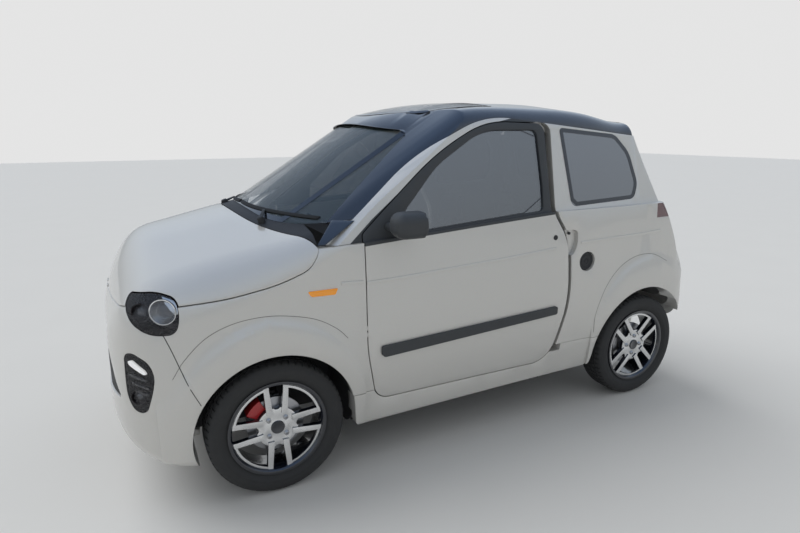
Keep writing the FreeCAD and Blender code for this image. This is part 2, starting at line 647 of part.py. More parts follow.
# Rear axle: beam, trailing arms, spring legs, back plates and spindles
beam_radius = 28.0
arm_y = 330.0
half_axle = [
    rod((rear_axle_x, 0, tyre_radius), (rear_axle_x, wheel_centre_y - 40, tyre_radius), beam_radius),
    rod((rear_axle_x, 500, tyre_radius), (rear_axle_x, axle_end, tyre_radius), spindle_radius),
    rod((rear_axle_x, wheel_centre_y - 46, tyre_radius), (rear_axle_x, wheel_centre_y - 34, tyre_radius), 112),
    rod((rear_axle_x, arm_y, tyre_radius), (step_x[0] - 60, arm_y, tyre_radius), 20),
    block(step_x[0] - 90, step_x[0], arm_y - 30, arm_y + 30, 240, 330),
    rod((rear_axle_x, arm_y, tyre_radius), (rear_axle_x, arm_y, load_floor_z[0]), 26),
]
half_axle = join(half_axle)
save("rear_axle", join([half_axle, mirrored(half_axle)]))

# Fuel tank under the load floor, exhaust from the engine to the tail
save("fuel_tank", prism([(-1040, 400), (-1040, 300, 40), (-1000, 235, 30), (-640, 235, 30), (-640, 400)],
                        in_side_view, -220, 220))
pipe_radius = 20.0
pipe_z = 178.0
pipe_y = -200.0
exhaust = join([
    rod((745, pipe_y, pipe_z), (-1180, pipe_y, pipe_z), pipe_radius),
    rod((-1165, pipe_y, pipe_z), (-1300, pipe_y, 250), pipe_radius),
    rod((-1300, -300, 265), (-1300, 160, 265), 68),
    block(-1315, -1285, -20, 20, 320, load_floor_z[0]),
])
save("exhaust", exhaust)

# Wheel-arch liners
liner_wall = 4.0
liner_inner_y = 388.0
liners = []
for x, radius in arch_radius.items():
    ring = rod((x, liner_inner_y, tyre_radius), (x, 800, tyre_radius), radius + 2 + liner_wall)
    ring = ring.cut(rod((x, liner_inner_y + liner_wall, tyre_radius), (x, 900, tyre_radius), radius + 2))
    ring = ring.cut(block(x - 600, x + 600, 0, 900, 0, 200))
    ring = ring.common(lower_body((panel_wall if x > 0 else cabin_wall) + 1))
    if x > 0:
        ring = ring.cut(block(x - 70, x + 70, 0, 430, 0, 440))
    else:
        ring = ring.cut(rod((x, 0, tyre_radius), (x, 500, tyre_radius), beam_radius + 6))
    liners.append(both_sides(ring.cut(sill)))
save("arch_liners", Part.makeCompound(liners))

# Dashboard with the steering column's boss
column_tilt = 28.0
wheel_hub = (215.0, 330.0, 900.0)
column_axis = Vector(math.cos(math.radians(column_tilt)), 0, -math.sin(math.radians(column_tilt)))
steer_pin_radius = 9.0
dash = prism([(520, 560), (520, 985), (420, 992, 30), (330, 940, 40), (330, 760, 40), (430, 560, 40)],
             in_side_view, -625, 625)
column_start = Vector(*wheel_hub) + column_axis * 34
column = Part.makeCylinder(30, 180, column_start, column_axis)
column_pin = Part.makeCylinder(steer_pin_radius, 60, Vector(*wheel_hub) + column_axis * 8, column_axis)
save("dashboard", join([dash, column, column_pin]))

# Steering wheel: rim, three spokes and hub, bored for the column's pin
steering_radius = 172.0
grip_radius = 13.0
origin = Vector(*wheel_hub)
grip = Part.makeTorus(steering_radius, grip_radius, origin, column_axis)
hub = Part.makeCylinder(48, 40, origin - column_axis * 8, column_axis)
steering = [grip, hub]
across = Vector(0, 1, 0)
upward = column_axis.cross(across)
for along in (across, across * -1, upward * (1 if upward.z < 0 else -1)):
    bar = Part.makeCylinder(13, steering_radius, origin + column_axis * 4, along)
    steering.append(bar)
steering = join(steering).cut(
    Part.makeCylinder(steer_pin_radius + seat_gap, 70, origin + column_axis * 4, column_axis))
save("steering_wheel", steering)

# Seats: cushion and back in one, on a plinth
seat_y = (70.0, 520.0)
seat_profile = [
    (90, 222), (90, 300, 20), (110, 420, 40), (-290, 392, 60), (-455, 860, 60), (-505, 1110, 30),
    (-570, 1110, 30), (-540, 800, 60), (-430, 380, 60), (-400, 222),
]
save("seats", both_sides(prism(seat_profile, in_side_view, *seat_y)))

# Door mirrors and mouldings
mirror_x = (292.0, 420.0)
mirror_y = (752.0, 880.0)
mirror_z = (1042.0, 1148.0)
housing = block(*mirror_x, *mirror_y, *mirror_z)
front_edges = [edge for edge in housing.Edges if edge.BoundBox.XMax > mirror_x[0] + 1]
housing = housing.makeFillet(44, front_edges)
housing = housing.cut(block(mirror_x[0], mirror_x[0] + 4, mirror_y[0] + 8, mirror_y[1] - 8,
                            mirror_z[0] + 8, mirror_z[1] - 8))
neck = block(330, 400, 672, 790, 1058, 1092)
neck = neck.makeFillet(14, [edge for edge in neck.Edges if edge.BoundBox.YLength > 50])
mirror = join([housing, neck]).cut(door)
save("mirror_left", mirror)
save("mirror_right", mirrored(mirror))
moulding_outline = [(440, 522, 20), (440, 572, 10), (-515, 614, 10), (-515, 574, 10)]
moulding_height = 11.0
moulding = prism(moulding_outline, in_side_view, 700, 740 + moulding_height).cut(lower_outer)
save("moulding_left", moulding)
save("moulding_right", mirrored(moulding))
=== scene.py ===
import json
import math

import bpy
from mathutils import Matrix, Vector
from mathutils.bvhtree import BVHTree

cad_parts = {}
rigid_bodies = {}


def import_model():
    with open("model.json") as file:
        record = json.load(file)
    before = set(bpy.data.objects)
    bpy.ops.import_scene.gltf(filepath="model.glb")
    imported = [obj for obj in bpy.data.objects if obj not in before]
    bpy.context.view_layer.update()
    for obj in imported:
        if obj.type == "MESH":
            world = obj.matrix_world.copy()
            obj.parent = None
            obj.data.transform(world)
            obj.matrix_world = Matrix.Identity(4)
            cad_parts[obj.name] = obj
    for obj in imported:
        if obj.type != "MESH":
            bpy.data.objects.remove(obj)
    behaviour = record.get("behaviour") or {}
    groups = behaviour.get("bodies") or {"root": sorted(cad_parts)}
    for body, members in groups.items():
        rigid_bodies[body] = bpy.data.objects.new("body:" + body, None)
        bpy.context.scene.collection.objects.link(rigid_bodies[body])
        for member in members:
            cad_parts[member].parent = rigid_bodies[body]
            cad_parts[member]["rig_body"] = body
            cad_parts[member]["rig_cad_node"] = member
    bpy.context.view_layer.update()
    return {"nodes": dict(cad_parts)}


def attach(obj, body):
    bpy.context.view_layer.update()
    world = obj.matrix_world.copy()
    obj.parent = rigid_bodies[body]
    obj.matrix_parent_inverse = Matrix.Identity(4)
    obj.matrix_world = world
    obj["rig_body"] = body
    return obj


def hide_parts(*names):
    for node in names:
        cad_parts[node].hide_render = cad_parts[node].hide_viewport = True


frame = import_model()
nodes = frame["nodes"]
bpy.ops.object.select_all(action="DESELECT")
print("frame loaded")


# Shader maths: a socket that takes part in expressions
class Sock:
    def __init__(self, graph, socket):
        self.graph = graph
        self.socket = socket

    def maths(self, operation, *others):
        inputs = dict(enumerate((self,) + others))
        return self.graph.node("ShaderNodeMath", {"operation": operation}, inputs)

    def __add__(self, other):
        return self.maths("ADD", other)

    def __sub__(self, other):
        return self.maths("SUBTRACT", other)

    def __rsub__(self, other):
        return self * -1.0 + other

    def __mul__(self, other):
        return self.maths("MULTIPLY", other)

    __radd__ = __add__
    __rmul__ = __mul__


def fillRamp(ramp, stops):
    for place, colour in stops[2:]:
        ramp.elements.new(place)
    for element, (place, colour) in zip(ramp.elements, stops):
        element.position = place
        element.color = (*colour, 1)


# The nodes of a new material, or of a new world
class Graph:
    def __init__(self, name, kind="materials", coordinates="Object"):
        self.owner = getattr(bpy.data, kind).new(name)
        self.owner.use_nodes = True
        self.tree = self.owner.node_tree
        self.shader = self.tree.nodes.get("Principled BSDF")
        self.coordinates = self.node("ShaderNodeTexCoord", output=coordinates)

    def node(self, kind, settings=None, inputs=None, output=0):
        made = self.tree.nodes.new(kind)
        for key, value in (settings or {}).items():
            if key == "stops":
                fillRamp(made.color_ramp, value)
            else:
                setattr(made, key, value)
        for key, value in (inputs or {}).items():
            self.feed(made.inputs[key], value)
        return Sock(self, made.outputs[output])

    def feed(self, socket, value):
        if isinstance(value, Sock):
            self.tree.links.new(value.socket, socket)
        elif socket.type == "RGBA":
            socket.default_value = (*value, 1)
        else:
            socket.default_value = value

    def axis(self, letter):
        return self.node("ShaderNodeSeparateXYZ", {}, {0: self.coordinates}, "XYZ".index(letter))

    def noise(self, scale, detail=3.0, roughness=0.5):
        inputs = {"Vector": self.coordinates, "Scale": scale, "Detail": detail, "Roughness": roughness}
        return self.node("ShaderNodeTexNoise", {}, inputs)

    def cells(self, scale, output="Distance"):
        return self.node("ShaderNodeTexVoronoi", {}, {"Vector": self.coordinates, "Scale": scale}, output)

    def mix(self, factor, first, second):
        return self.node("ShaderNodeMix", {"data_type": "RGBA"}, {0: factor, 6: first, 7: second}, 2)

    def bump(self, height, distance, strength=1.0):
        inputs = {"Height": height, "Distance": distance, "Strength": strength}
        self.feed(self.shader.inputs["Normal"], self.node("ShaderNodeBump", {}, inputs))

    def surface(self, **values):
        for key, value in values.items():
            self.feed(self.shader.inputs[shaderNames[key]], value)
        return self.owner


shaderNames = {
    "colour": "Base Color",
    "roughness": "Roughness",
    "metallic": "Metallic",
    "coat": "Coat Weight",
    "coatRoughness": "Coat Roughness",
    "ior": "IOR",
    "alpha": "Alpha",
    "sheen": "Sheen Weight",
    "sheenRoughness": "Sheen Roughness",
    "specular": "Specular IOR Level",
    "glow": "Emission Color",
    "glowStrength": "Emission Strength",
}


def times(colour, share):
    return tuple(c * share for c in colour)


def pearlPaint():
    graph = Graph("pearlPaint")
    flakes = graph.cells(2600.0, "Color")
    clouds = graph.noise(1.3, 2.0)
    base = graph.mix(clouds, (0.62, 0.605, 0.57), (0.66, 0.645, 0.61))
    return graph.surface(colour=graph.mix(0.07, base, flakes), roughness=0.36 + graph.noise(60.0, 2.0) * 0.06,
                         metallic=0.35, coat=1.0, coatRoughness=0.04)


def blackPaint():
    graph = Graph("blackPaint")
    haze = graph.noise(3.0, 4.0)
    return graph.surface(colour=graph.mix(haze, (0.006, 0.008, 0.014), (0.010, 0.012, 0.020)),
                         roughness=0.16 + haze * 0.06, coat=1.0, coatRoughness=0.02)


def plastic(name, colour, roughness, grain, depth):
    graph = Graph(name)
    pattern = graph.cells(grain)
    wear = graph.noise(9.0, 4.0)
    graph.bump(pattern, depth, 0.5)
    lighter = tuple(min(1.0, c * 1.35 + 0.004) for c in colour)
    return graph.surface(colour=graph.mix(wear, colour, lighter), roughness=roughness + wear * 0.12 - 0.06)


def rubber(name, colour):
    graph = Graph(name)
    dust = graph.noise(26.0, 6.0, 0.6)
    graph.bump(graph.noise(420.0, 3.0), 0.0003, 0.4)
    return graph.surface(colour=graph.mix(dust, colour, times(colour, 1.9)), roughness=0.74 + dust * 0.16)


def metal(name, colour, roughness, grain=None):
    graph = Graph(name)
    grime = graph.noise(18.0, 5.0)
    if grain:
        graph.bump(graph.noise(grain, 3.0), 0.0004, 0.3)
    return graph.surface(colour=graph.mix(grime, times(colour, 0.82), colour), metallic=1.0,
                         roughness=roughness + grime * 0.12)


def glass(name, tint, see, roughness=0.02, bend=1.5):
    graph = Graph(name)
    haze = graph.noise(5.0, 3.0)
    graph.owner.surface_render_method = "BLENDED"
    return graph.surface(colour=tint, roughness=roughness + haze * 0.015, alpha=1.0 - see, coat=1.0,
                         coatRoughness=0.01, specular=0.8, ior=bend)


def seatFabric():
    graph = Graph("seatFabric")
    across = graph.axis("Y") * 900.0
    along = (graph.axis("Z") + graph.axis("X")) * 900.0
    weave = across.maths("SINE") * along.maths("SINE")
    fuzz = graph.noise(240.0, 4.0)
    graph.bump(weave * 0.5 + fuzz, 0.0006, 0.6)
    return graph.surface(colour=graph.mix(fuzz, (0.020, 0.021, 0.024), (0.055, 0.056, 0.060)), roughness=0.88,
                         sheen=0.25, sheenRoughness=0.5)


def caliperPaint():
    graph = Graph("caliperPaint")
    chips = graph.noise(45.0, 5.0)
    graph.bump(graph.noise(260.0), 0.0004, 0.4)
    return graph.surface(colour=graph.mix(chips, (0.36, 0.012, 0.014), (0.55, 0.02, 0.022)), roughness=0.36,
                         coat=0.5, coatRoughness=0.1)


def amberLens():
    graph = Graph("amberLens")
    ribs = (graph.axis("X") * 900.0).maths("SINE")
    graph.bump(ribs, 0.0004, 0.7)
    tone = graph.mix(graph.noise(40.0), (0.86, 0.27, 0.004), (0.95, 0.36, 0.008))
    # the faint glow is painted light: it makes the lens's orange brighter and more saturated than the lamps
    # alone would
    return graph.surface(colour=tone, roughness=0.16, coat=1.0, coatRoughness=0.03, glow=(1.0, 0.36, 0.01),
                         glowStrength=0.12)


def lampBowl():
    graph = Graph("lampBowl")
    haze = graph.noise(30.0, 3.0)
    return graph.surface(colour=graph.mix(haze, (0.010, 0.009, 0.011), (0.026, 0.020, 0.022)),
                         roughness=0.22 + haze * 0.1, metallic=0.4)


def lamplight():
    graph = Graph("lamplight")
    ribs = (graph.axis("Z") * 1400.0).maths("SINE")
    graph.bump(ribs, 0.0003, 0.4)
    tone = graph.mix(graph.noise(50.0), (0.90, 0.90, 0.90), (0.98, 0.98, 0.98))
    return graph.surface(colour=tone, roughness=0.25, glow=(1.0, 1.0, 1.0), glowStrength=0.55, coat=1.0)


looks = {
    "pearl": pearlPaint(),
    "black": blackPaint(),
    # plastics: colour, roughness, grain, depth of the grain
    "trim": plastic("trimPlastic", (0.035, 0.038, 0.041), 0.52, 900.0, 0.0002),
    "dark": plastic("darkPlastic", (0.018, 0.018, 0.019), 0.62, 700.0, 0.0003),
    "cabin": plastic("cabinPlastic", (0.030, 0.030, 0.032), 0.60, 800.0, 0.0003),
    "under": plastic("underbodyCoat", (0.020, 0.020, 0.020), 0.85, 300.0, 0.0008),
    "tyre": rubber("tyreRubber", (0.022, 0.022, 0.022)),
    "seal": rubber("sealRubber", (0.012, 0.012, 0.012)),
    # metals: colour, roughness, grain
    "machined": metal("machinedAlloy", (0.80, 0.80, 0.80), 0.20),
    "cast": metal("castMetal", (0.36, 0.36, 0.37), 0.46, 300.0),
    "disc": metal("brakeDisc", (0.46, 0.46, 0.47), 0.28),
    "steel": metal("exhaustSteel", (0.42, 0.40, 0.38), 0.34, 60.0),
    "chrome": metal("chrome", (0.86, 0.87, 0.88), 0.06),
    # glass: tint, how much it lets through, roughness, bend
    "screen": glass("clearGlass", (0.045, 0.06, 0.06), 0.60),
    "doorGlass": glass("doorGlass", (0.012, 0.020, 0.028), 0.30, 0.01, 2.3),
    "privacy": glass("privacyGlass", (0.008, 0.011, 0.018), 0.05, 0.01, 2.3),
    "lens": glass("lampLens", (0.10, 0.10, 0.11), 0.86),
    "tailLens": glass("tailLens", (0.10, 0.012, 0.02), 0.10),
    "fabric": seatFabric(),
    "caliper": caliperPaint(),
    "amber": amberLens(),
    "lampBowl": lampBowl(),
    "lamplight": lamplight(),
    "seam": rubber("seamShadow", (0.022, 0.021, 0.020)),
    "fold": rubber("foldShadow", (0.13, 0.125, 0.115)),
    "lampDome": glass("lampDome", (0.10, 0.11, 0.13), 0.25),
}
print("materials made")


def pick(piece):
    bpy.ops.object.select_all(action="DESELECT")
    piece.select_set(True)
    bpy.context.view_layer.objects.active = piece


def chooseAll():
    bpy.ops.mesh.select_all(action="SELECT")


def editing(piece, everything=False):
    pick(piece)
    bpy.ops.object.mode_set(mode="EDIT")
    bpy.ops.mesh.select_all(action="SELECT" if everything else "DESELECT")


def doneEditing():
    bpy.ops.object.mode_set(mode="OBJECT")


def chooseFaces(piece, test):
    if piece.mode != "EDIT":
        editing(piece)
    doneEditing()
    for face in piece.data.polygons:
        face.select = bool(test(face))
    bpy.ops.object.mode_set(mode="EDIT")


def modify(piece, kind, **settings):
    pick(piece)
    made = piece.modifiers.new(kind.lower(), kind)
    for key, value in settings.items():
        setattr(made, key, value)
    bpy.ops.object.modifier_apply(modifier=made.name)


def rollEdges(piece, width, segments, degrees):
    modify(piece, "BEVEL", limit_method="ANGLE", angle_limit=math.radians(degrees), width=width,
           segments=segments, use_clamp_overlap=True)


def thicken(piece, wall):
    # a wall that grows inwards from the faces
    modify(piece, "SOLIDIFY", thickness=wall, offset=-1.0)


def smooth(piece, degrees=40):
    pick(piece)
    bpy.ops.object.shade_smooth_by_angle(angle=math.radians(degrees))


def settle(piece):
    # the piece's place, turn and size go into its mesh
    pick(piece)
    bpy.ops.object.transform_apply(location=True, rotation=True, scale=True)


def turnOver(piece):
    editing(piece, True)
    bpy.ops.mesh.flip_normals()
    doneEditing()


def mergedCopy(node, name):
    # a node's own shape as one welded mesh, to be finished as a piece
    piece = nodes[node].copy()
    piece.data = nodes[node].data.copy()
    piece.name = name
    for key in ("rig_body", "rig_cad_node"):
        del piece[key]
    bpy.context.scene.collection.objects.link(piece)
    piece.hide_set(False)
    piece.hide_viewport = piece.hide_render = False
    piece.parent = None
    piece.matrix_world = Matrix.Identity(4)
    editing(piece, True)
    bpy.ops.mesh.remove_doubles(threshold=0.00002)
    doneEditing()
    pick(piece)
    bpy.ops.mesh.customdata_custom_splitnormals_clear()
    return piece


def bodyOf(node):
    return nodes[node]["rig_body"]


def finishPiece(piece, body, slotName, *lookNames):
    settle(piece)
    kept = [face.material_index for face in piece.data.polygons]
    piece.data.materials.clear()
    for look in lookNames:
        piece.data.materials.append(looks[look])
    if len(lookNames) > 1:
        for face, index in zip(piece.data.polygons, kept):
            face.material_index = index
    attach(piece, body)


# Ways of looking at the car, each with its right, up and outward directions. Outlines are in millimetres.
lampAim = math.radians(25.0)
lampPlane = 650  # how far left of the middle the lamp's outlines are drawn
farOut = 2.5  # metres from the middle to where an outline starts on its way to the skin
views = {
    "side": ((-1, 0, 0), (0, 0, 1), (0, 1, 0)),
    "front": ((0, 1, 0), (0, 0, 1), (1, 0, 0)),
    "rear": ((0, -1, 0), (0, 0, 1), (-1, 0, 0)),
    "lamp": ((-math.cos(lampAim), math.sin(lampAim), 0), (0, 0, 1),
             (math.sin(lampAim), math.cos(lampAim), 0)),
}
sides = {"left": 1, "right": -1}


def spot(view, across, up):
    places = {"side": (across, 0, up), "front": (0, across, up), "rear": (0, across, up),
              "lamp": (across, lampPlane, up)}
    return Vector(places[view]) * 0.001


skins = {}


def onSkin(node, view, across, up, sink=0.0):
    # the point of a node's skin behind an outline point, sunk by some metres; a gap is searched round
    out = Vector(views[view][2])
    if node not in skins:
        places, faces = [], []
        for part in node.split("+"):
            mesh, turn, first = nodes[part].data, nodes[part].matrix_world, len(places)
            places += [turn @ v.co for v in mesh.vertices]
            faces += [[first + i for i in p.vertices] for p in mesh.polygons]
        skins[node] = BVHTree.FromPolygons(places, faces)
    for shift in range(0, 40, 3):
        for sideways, upward in ((0, 0), (1, 0), (-1, 0), (0, 1), (0, -1)):
            start = spot(view, across + shift * sideways, up + shift * upward)
            start += out * (farOut - start.dot(out))
            place = skins[node].ray_cast(start, -out)[0]
            if place:
                flat = spot(view, across, up)
                return flat + out * (place.dot(out) - flat.dot(out) - sink)


def rounded(corners, steps=4):
    points = []
    for i, (a, b, run) in enumerate(corners):
        here = Vector((a, b))
        before = Vector(corners[i - 1][:2]) - here
        after = Vector(corners[(i + 1) % len(corners)][:2]) - here
        run = min(run, 0.48 * before.length, 0.48 * after.length)
        for k in range(steps + 1):
            t = k / steps
            points.append(here + before.normalized() * run * (1 - t) ** 2 + after.normalized() * run * t ** 2)
    return points


def patch(name, corners, view, over, lift, depth, cell=0.02, edge=0.0008):
    # a plate with a convex outline on a node's skin: its face stands lift above it, and it is depth thick
    right, up, out = (Vector(direction) for direction in views[view])
    flat = [Vector((place.dot(right), place.dot(up))) for place in (spot(view, *p) for p in rounded(corners))]
    low = [min(point[i] for point in flat) for i in (0, 1)]
    size = [max(point[i] for point in flat) - low[i] for i in (0, 1)]
    bpy.ops.mesh.primitive_grid_add(x_subdivisions=max(2, round(size[0] / cell)), size=1,
                                    y_subdivisions=max(2, round(size[1] / cell)),
                                    location=(low[0] + size[0] / 2, low[1] + size[1] / 2, 0))
    piece = bpy.context.object
    piece.name = name
    piece.scale = (size[0] * 1.01, size[1] * 1.01, 1)
    settle(piece)
    centre = sum(flat, Vector((0, 0))) / len(flat)
    for i, point in enumerate(flat):
        run = flat[(i + 1) % len(flat)] - point
        if run.length < 0.00001:
            continue
        normal = Vector((run.y, -run.x)).normalized()
        if normal.dot(centre - point) > 0:
            normal.negate()
        editing(piece, True)
        bpy.ops.mesh.bisect(plane_co=(*point, 0), plane_no=(*normal, 0), clear_outer=True)
        doneEditing()
    turn = Matrix((right, up, out)).transposed().to_4x4()
    piece.matrix_world = Matrix.Translation(out * farOut) @ turn
    modify(piece, "SHRINKWRAP", target=nodes[over], wrap_method="PROJECT", use_project_z=True,
           use_negative_direction=True, use_positive_direction=False)
    chooseFaces(piece, lambda face: max(piece.data.vertices[i].co.z for i in face.vertices) > -0.3)
    bpy.ops.mesh.delete(type="FACE")  # what found no skin
    doneEditing()
    piece.location += out * lift
    thicken(piece, depth)
    rollEdges(piece, edge, segments=2, degrees=50)
    settle(piece)
    smooth(piece)
    return piece


def otherSide(piece):
    # the same piece on the car's right
    twin = piece.copy()
    twin.data = piece.data.copy()
    twin.name = piece.name.replace("left", "right") if "left" in piece.name else piece.name + ".right"
    bpy.context.scene.collection.objects.link(twin)
    editing(twin, True)
    bpy.ops.transform.resize(value=(1, -1, 1), center_override=(0, 0, 0))
    bpy.ops.mesh.flip_normals()
    doneEditing()
    return twin


def dressBoth(piece, body, slotName, look):
    # finish a piece of the left side, and its twin on the right side's body
    twin = otherSide(piece)
    finishPiece(piece, body, slotName, look)
    finishPiece(twin, body.replace("left", "right"), slotName, look)


def traceLine(name, line):
    # edges drawn from point to point, left in edit mode with everything chosen
    bpy.ops.mesh.primitive_plane_add(size=0.01)
    piece = bpy.context.object
    piece.name = name
    editing(piece, True)
    bpy.ops.mesh.merge(type="CENTER")
    bpy.ops.transform.translate(value=line[0])
    for start, end in zip(line, line[1:]):
        step = [b - a for a, b in zip(start, end)]
        bpy.ops.mesh.extrude_region_move(TRANSFORM_OT_translate={"value": step})
    chooseAll()
    return piece


def lathe(name, profile, steps, sweep=360.0):
    # profile points (along the Y axis, radius) in metres, spun about that axis
    piece = traceLine(name, [(0, y, r) for y, r in profile])
    bpy.ops.mesh.spin(steps=steps, angle=math.radians(sweep), center=(0, 0, 0), axis=(0, 1, 0))
    chooseAll()
    bpy.ops.mesh.remove_doubles(threshold=0.00001)
    bpy.ops.mesh.normals_make_consistent(inside=False)
    doneEditing()
    return piece


def setDown(piece, place, out):
    # turn a piece made about the Y axis to face outward, and put it in place
    turn = Vector((0, 1, 0)).rotation_difference(Vector(out))
    piece.matrix_world = Matrix.Translation(place) @ turn.to_matrix().to_4x4()
    settle(piece)


def turned(name, profile, place, out, steps=40, softAngle=40):
    piece = lathe(name, profile, steps)
    smooth(piece, softAngle)
    setDown(piece, place, out)
    return piece


def bar(name, start, end, width, thickness, edge, taper=1.0):
    # a slim bar from start to end; thickness is its height, and taper the share left at its far end
    start, end = Vector(start), Vector(end)
    along = end - start
    bpy.ops.mesh.primitive_cube_add(size=1)
    piece = bpy.context.object
    piece.name = name
    piece.scale = (width, along.length, thickness)
    settle(piece)
    chooseFaces(piece, lambda face: face.normal.y > 0.9)
    bpy.ops.transform.resize(value=(taper, 1, taper), center_override=(0, along.length / 2, 0))
    doneEditing()
    rollEdges(piece, edge, segments=2, degrees=40)
    turn = along.to_track_quat("Y", "Z")
    piece.matrix_world = Matrix.Translation((start + end) / 2) @ turn.to_matrix().to_4x4()
    settle(piece)
    smooth(piece)
    return piece


# Painted panels: the nodes' shapes welded, with their edges rolled as on pressed and moulded skins
panels = {
    "edgeRoll": 0.0014,
    "rollSteps": 2,
    "rollAngle": 42,
    "smoothAngle": 32,
    "skins": [  # slot, look, nodes
        ("body_paint", "pearl", ["bonnet", "front_bumper", "fenders", "sills", "quarter_panels", "rear_bumper",
                                 "tailgate"]),
        ("gloss_black", "black", ["roof_panel"]),
        ("dark_plastic", "dark", ["cowl"]),
    ],
    # where the painted strip of the roof's frame begins and ends, as (forward, up)
    "frameLow": [(0.690, 0.985), (0.560, 1.016), (0.453, 1.105), (0.357, 1.177), (0.196, 1.301),
                 (0.053, 1.400), (-0.109, 1.478), (-0.300, 1.515)],
    "frameHigh": [(0.720, 0.958), (0.648, 1.018), (0.573, 1.080), (0.491, 1.146), (0.346, 1.266),
                  (0.187, 1.381), (0.047, 1.452), (-0.135, 1.535), (-0.450, 1.600)],
}


def finishPanel(piece, node, slotName, *lookNames):
    rollEdges(piece, panels["edgeRoll"], panels["rollSteps"], panels["rollAngle"])
    smooth(piece, panels["smoothAngle"])
    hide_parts(node)
    finishPiece(piece, bodyOf(node), slotName, *lookNames)


for slotName, look, names in panels["skins"]:
    for node in names:
        finishPanel(mergedCopy(node, node + ".skin"), node, slotName, look)


def heightOn(line, x):
    for (x0, z0), (x1, z1) in zip(line, line[1:]):
        if x1 <= x <= x0:
            return z0 + (z1 - z0) * (x - x0) / (x1 - x0)
    return line[0][1] if x > line[0][0] else line[-1][1]


def makeRoofFrame():
    # a painted strip up the pillar between the black roof band and the black corner plate of the door
    piece = mergedCopy("roof_frame", "roof_frame.skin")
    low, high = panels["frameLow"], panels["frameHigh"]
    for line in (low, high):
        for (x0, z0), (x1, z1) in zip(line, line[1:]):
            editing(piece, True)
            bpy.ops.mesh.bisect(plane_co=(x0, 0, z0), plane_no=Vector((z0 - z1, 0, x1 - x0)).normalized())
            doneEditing()
    for face in piece.data.polygons:
        x, z = face.center.x, face.center.z
        face.material_index = 1 if z < heightOn(low, x) else 2 * int(z > heightOn(high, x))
    smooth(piece, panels["smoothAngle"])
    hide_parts("roof_frame")
    finishPiece(piece, "body", "body_paint", "pearl", "trim", "black")


makeRoofFrame()
print("panels made")


doors = {
    "beltAt": (0.500, 1.006),
    "beltRise": -0.0632,
}


def makeDoor(side):
    # paint below the belt line, and a black window frame above it
    node = "door_" + side
    piece = mergedCopy(node, node + ".skin")
    x, z = doors["beltAt"]
    normal = Vector((-doors["beltRise"], 0, 1)).normalized()
    editing(piece, True)
    bpy.ops.mesh.bisect(plane_co=(x, 0, z), plane_no=normal)
    doneEditing()
    for face in piece.data.polygons:
        face.material_index = int((face.center - Vector((x, 0, z))).dot(normal) > 0)
    finishPanel(piece, node, "body_paint", "pearl", "trim")


for side in sides:
    makeDoor(side)
print("doors made")


nodeLooks = {
    "dark": ["grille", "arch_liners"],
    "trim": ["moulding_left", "moulding_right"],
    "cabin": ["dashboard", "steering_wheel"],
    "under": ["floor_pan", "front_subframe", "fuel_tank", "rear_axle"],
    "cast": ["engine"],
    "steel": ["exhaust"],
    "screen": ["windscreen", "roof_glass"],
    "doorGlass": ["door_glass_left", "door_glass_right"],
    "privacy": ["quarter_glass", "tailgate_glass"],
    "tailLens": ["tail_lamps"],
}
for look, names in nodeLooks.items():
    for name in names:
        nodes[name].data.materials.clear()
        nodes[name].data.materials.append(looks[look])


wheels = {
    "centreY": 0.6425,
    "radius": 0.2835,
    "axles": {"front": 0.888, "rear": -1.142},
    "faceOut": 0.046,  # the spokes' faces stand out further than this, within faceRadius
    "faceRadius": 0.185,
    "discOut": 0.016,  # the disc stands out less than this, within discRadius
    "discRadius": 0.119,
    "edgeRoll": 0.0012,
}
corners = [(axle, side) for axle in wheels["axles"] for side in sides]


def makeRim(axle, side):
    node = "rim_" + axle + "_" + side
    piece = mergedCopy(node, node + ".alloy")
    for face in piece.data.polygons:
        out = sides[side] * face.center.y - wheels["centreY"]
        away = Vector((face.center.x - wheels["axles"][axle], face.center.z - wheels["radius"])).length
        outward = sides[side] * face.normal.y > 0.8
        face.material_index = 1
        if out > wheels["faceOut"] and outward and away < wheels["faceRadius"]:
            face.material_index = 0
        if away < wheels["discRadius"] and out < wheels["discOut"]:
            face.material_index = 2
    rollEdges(piece, wheels["edgeRoll"], segments=2, degrees=40)
    smooth(piece, 35)
    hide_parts(node)
    finishPiece(piece, bodyOf(node), "alloy", "machined", "black", "disc")


for axle, side in corners:
    makeRim(axle, side)
print("wheels made")


rimParts = {
    "bolts": 4,
    "firstBolt": {"front": 45.0, "rear": 85.0},
    "boltCircle": 0.050,
    "boltOut": 0.0445,
    "bolt": [(-0.004, 0.0001), (-0.004, 0.0125), (0.0015, 0.0125), (0.0015, 0.0098), (0.0105, 0.0094),
             (0.0125, 0.0070), (0.0125, 0.0040), (0.0085, 0.0034), (0.0085, 0.0001)],
    "capOut": 0.0515,
    "cap": [(0.0, 0.0001), (0.0, 0.0285), (0.0030, 0.0285), (0.0048, 0.0270), (0.0052, 0.0225),
            (0.0044, 0.0210), (0.0046, 0.0001)],
}


def makeRimParts(axle, side):
    wheel = axle + "_" + side
    body = "wheel_" + wheel
    out = Vector((0, sides[side], 0))
    hub = Vector((wheels["axles"][axle], sides[side] * wheels["centreY"], wheels["radius"]))
    cap = turned("cap." + wheel, rimParts["cap"], hub + out * rimParts["capOut"], out)
    finishPiece(cap, body, "dark_plastic", "black")
    for i in range(rimParts["bolts"]):
        angle = math.radians(rimParts["firstBolt"][axle] + 360 / rimParts["bolts"] * i)
        place = Vector((math.sin(angle), 0, math.cos(angle))) * rimParts["boltCircle"]
        place = hub + place + out * rimParts["boltOut"]
        bolt = turned("bolt.%s.%d" % (wheel, i), rimParts["bolt"], place, out, steps=24, softAngle=30)
        finishPiece(bolt, body, "alloy", "disc")


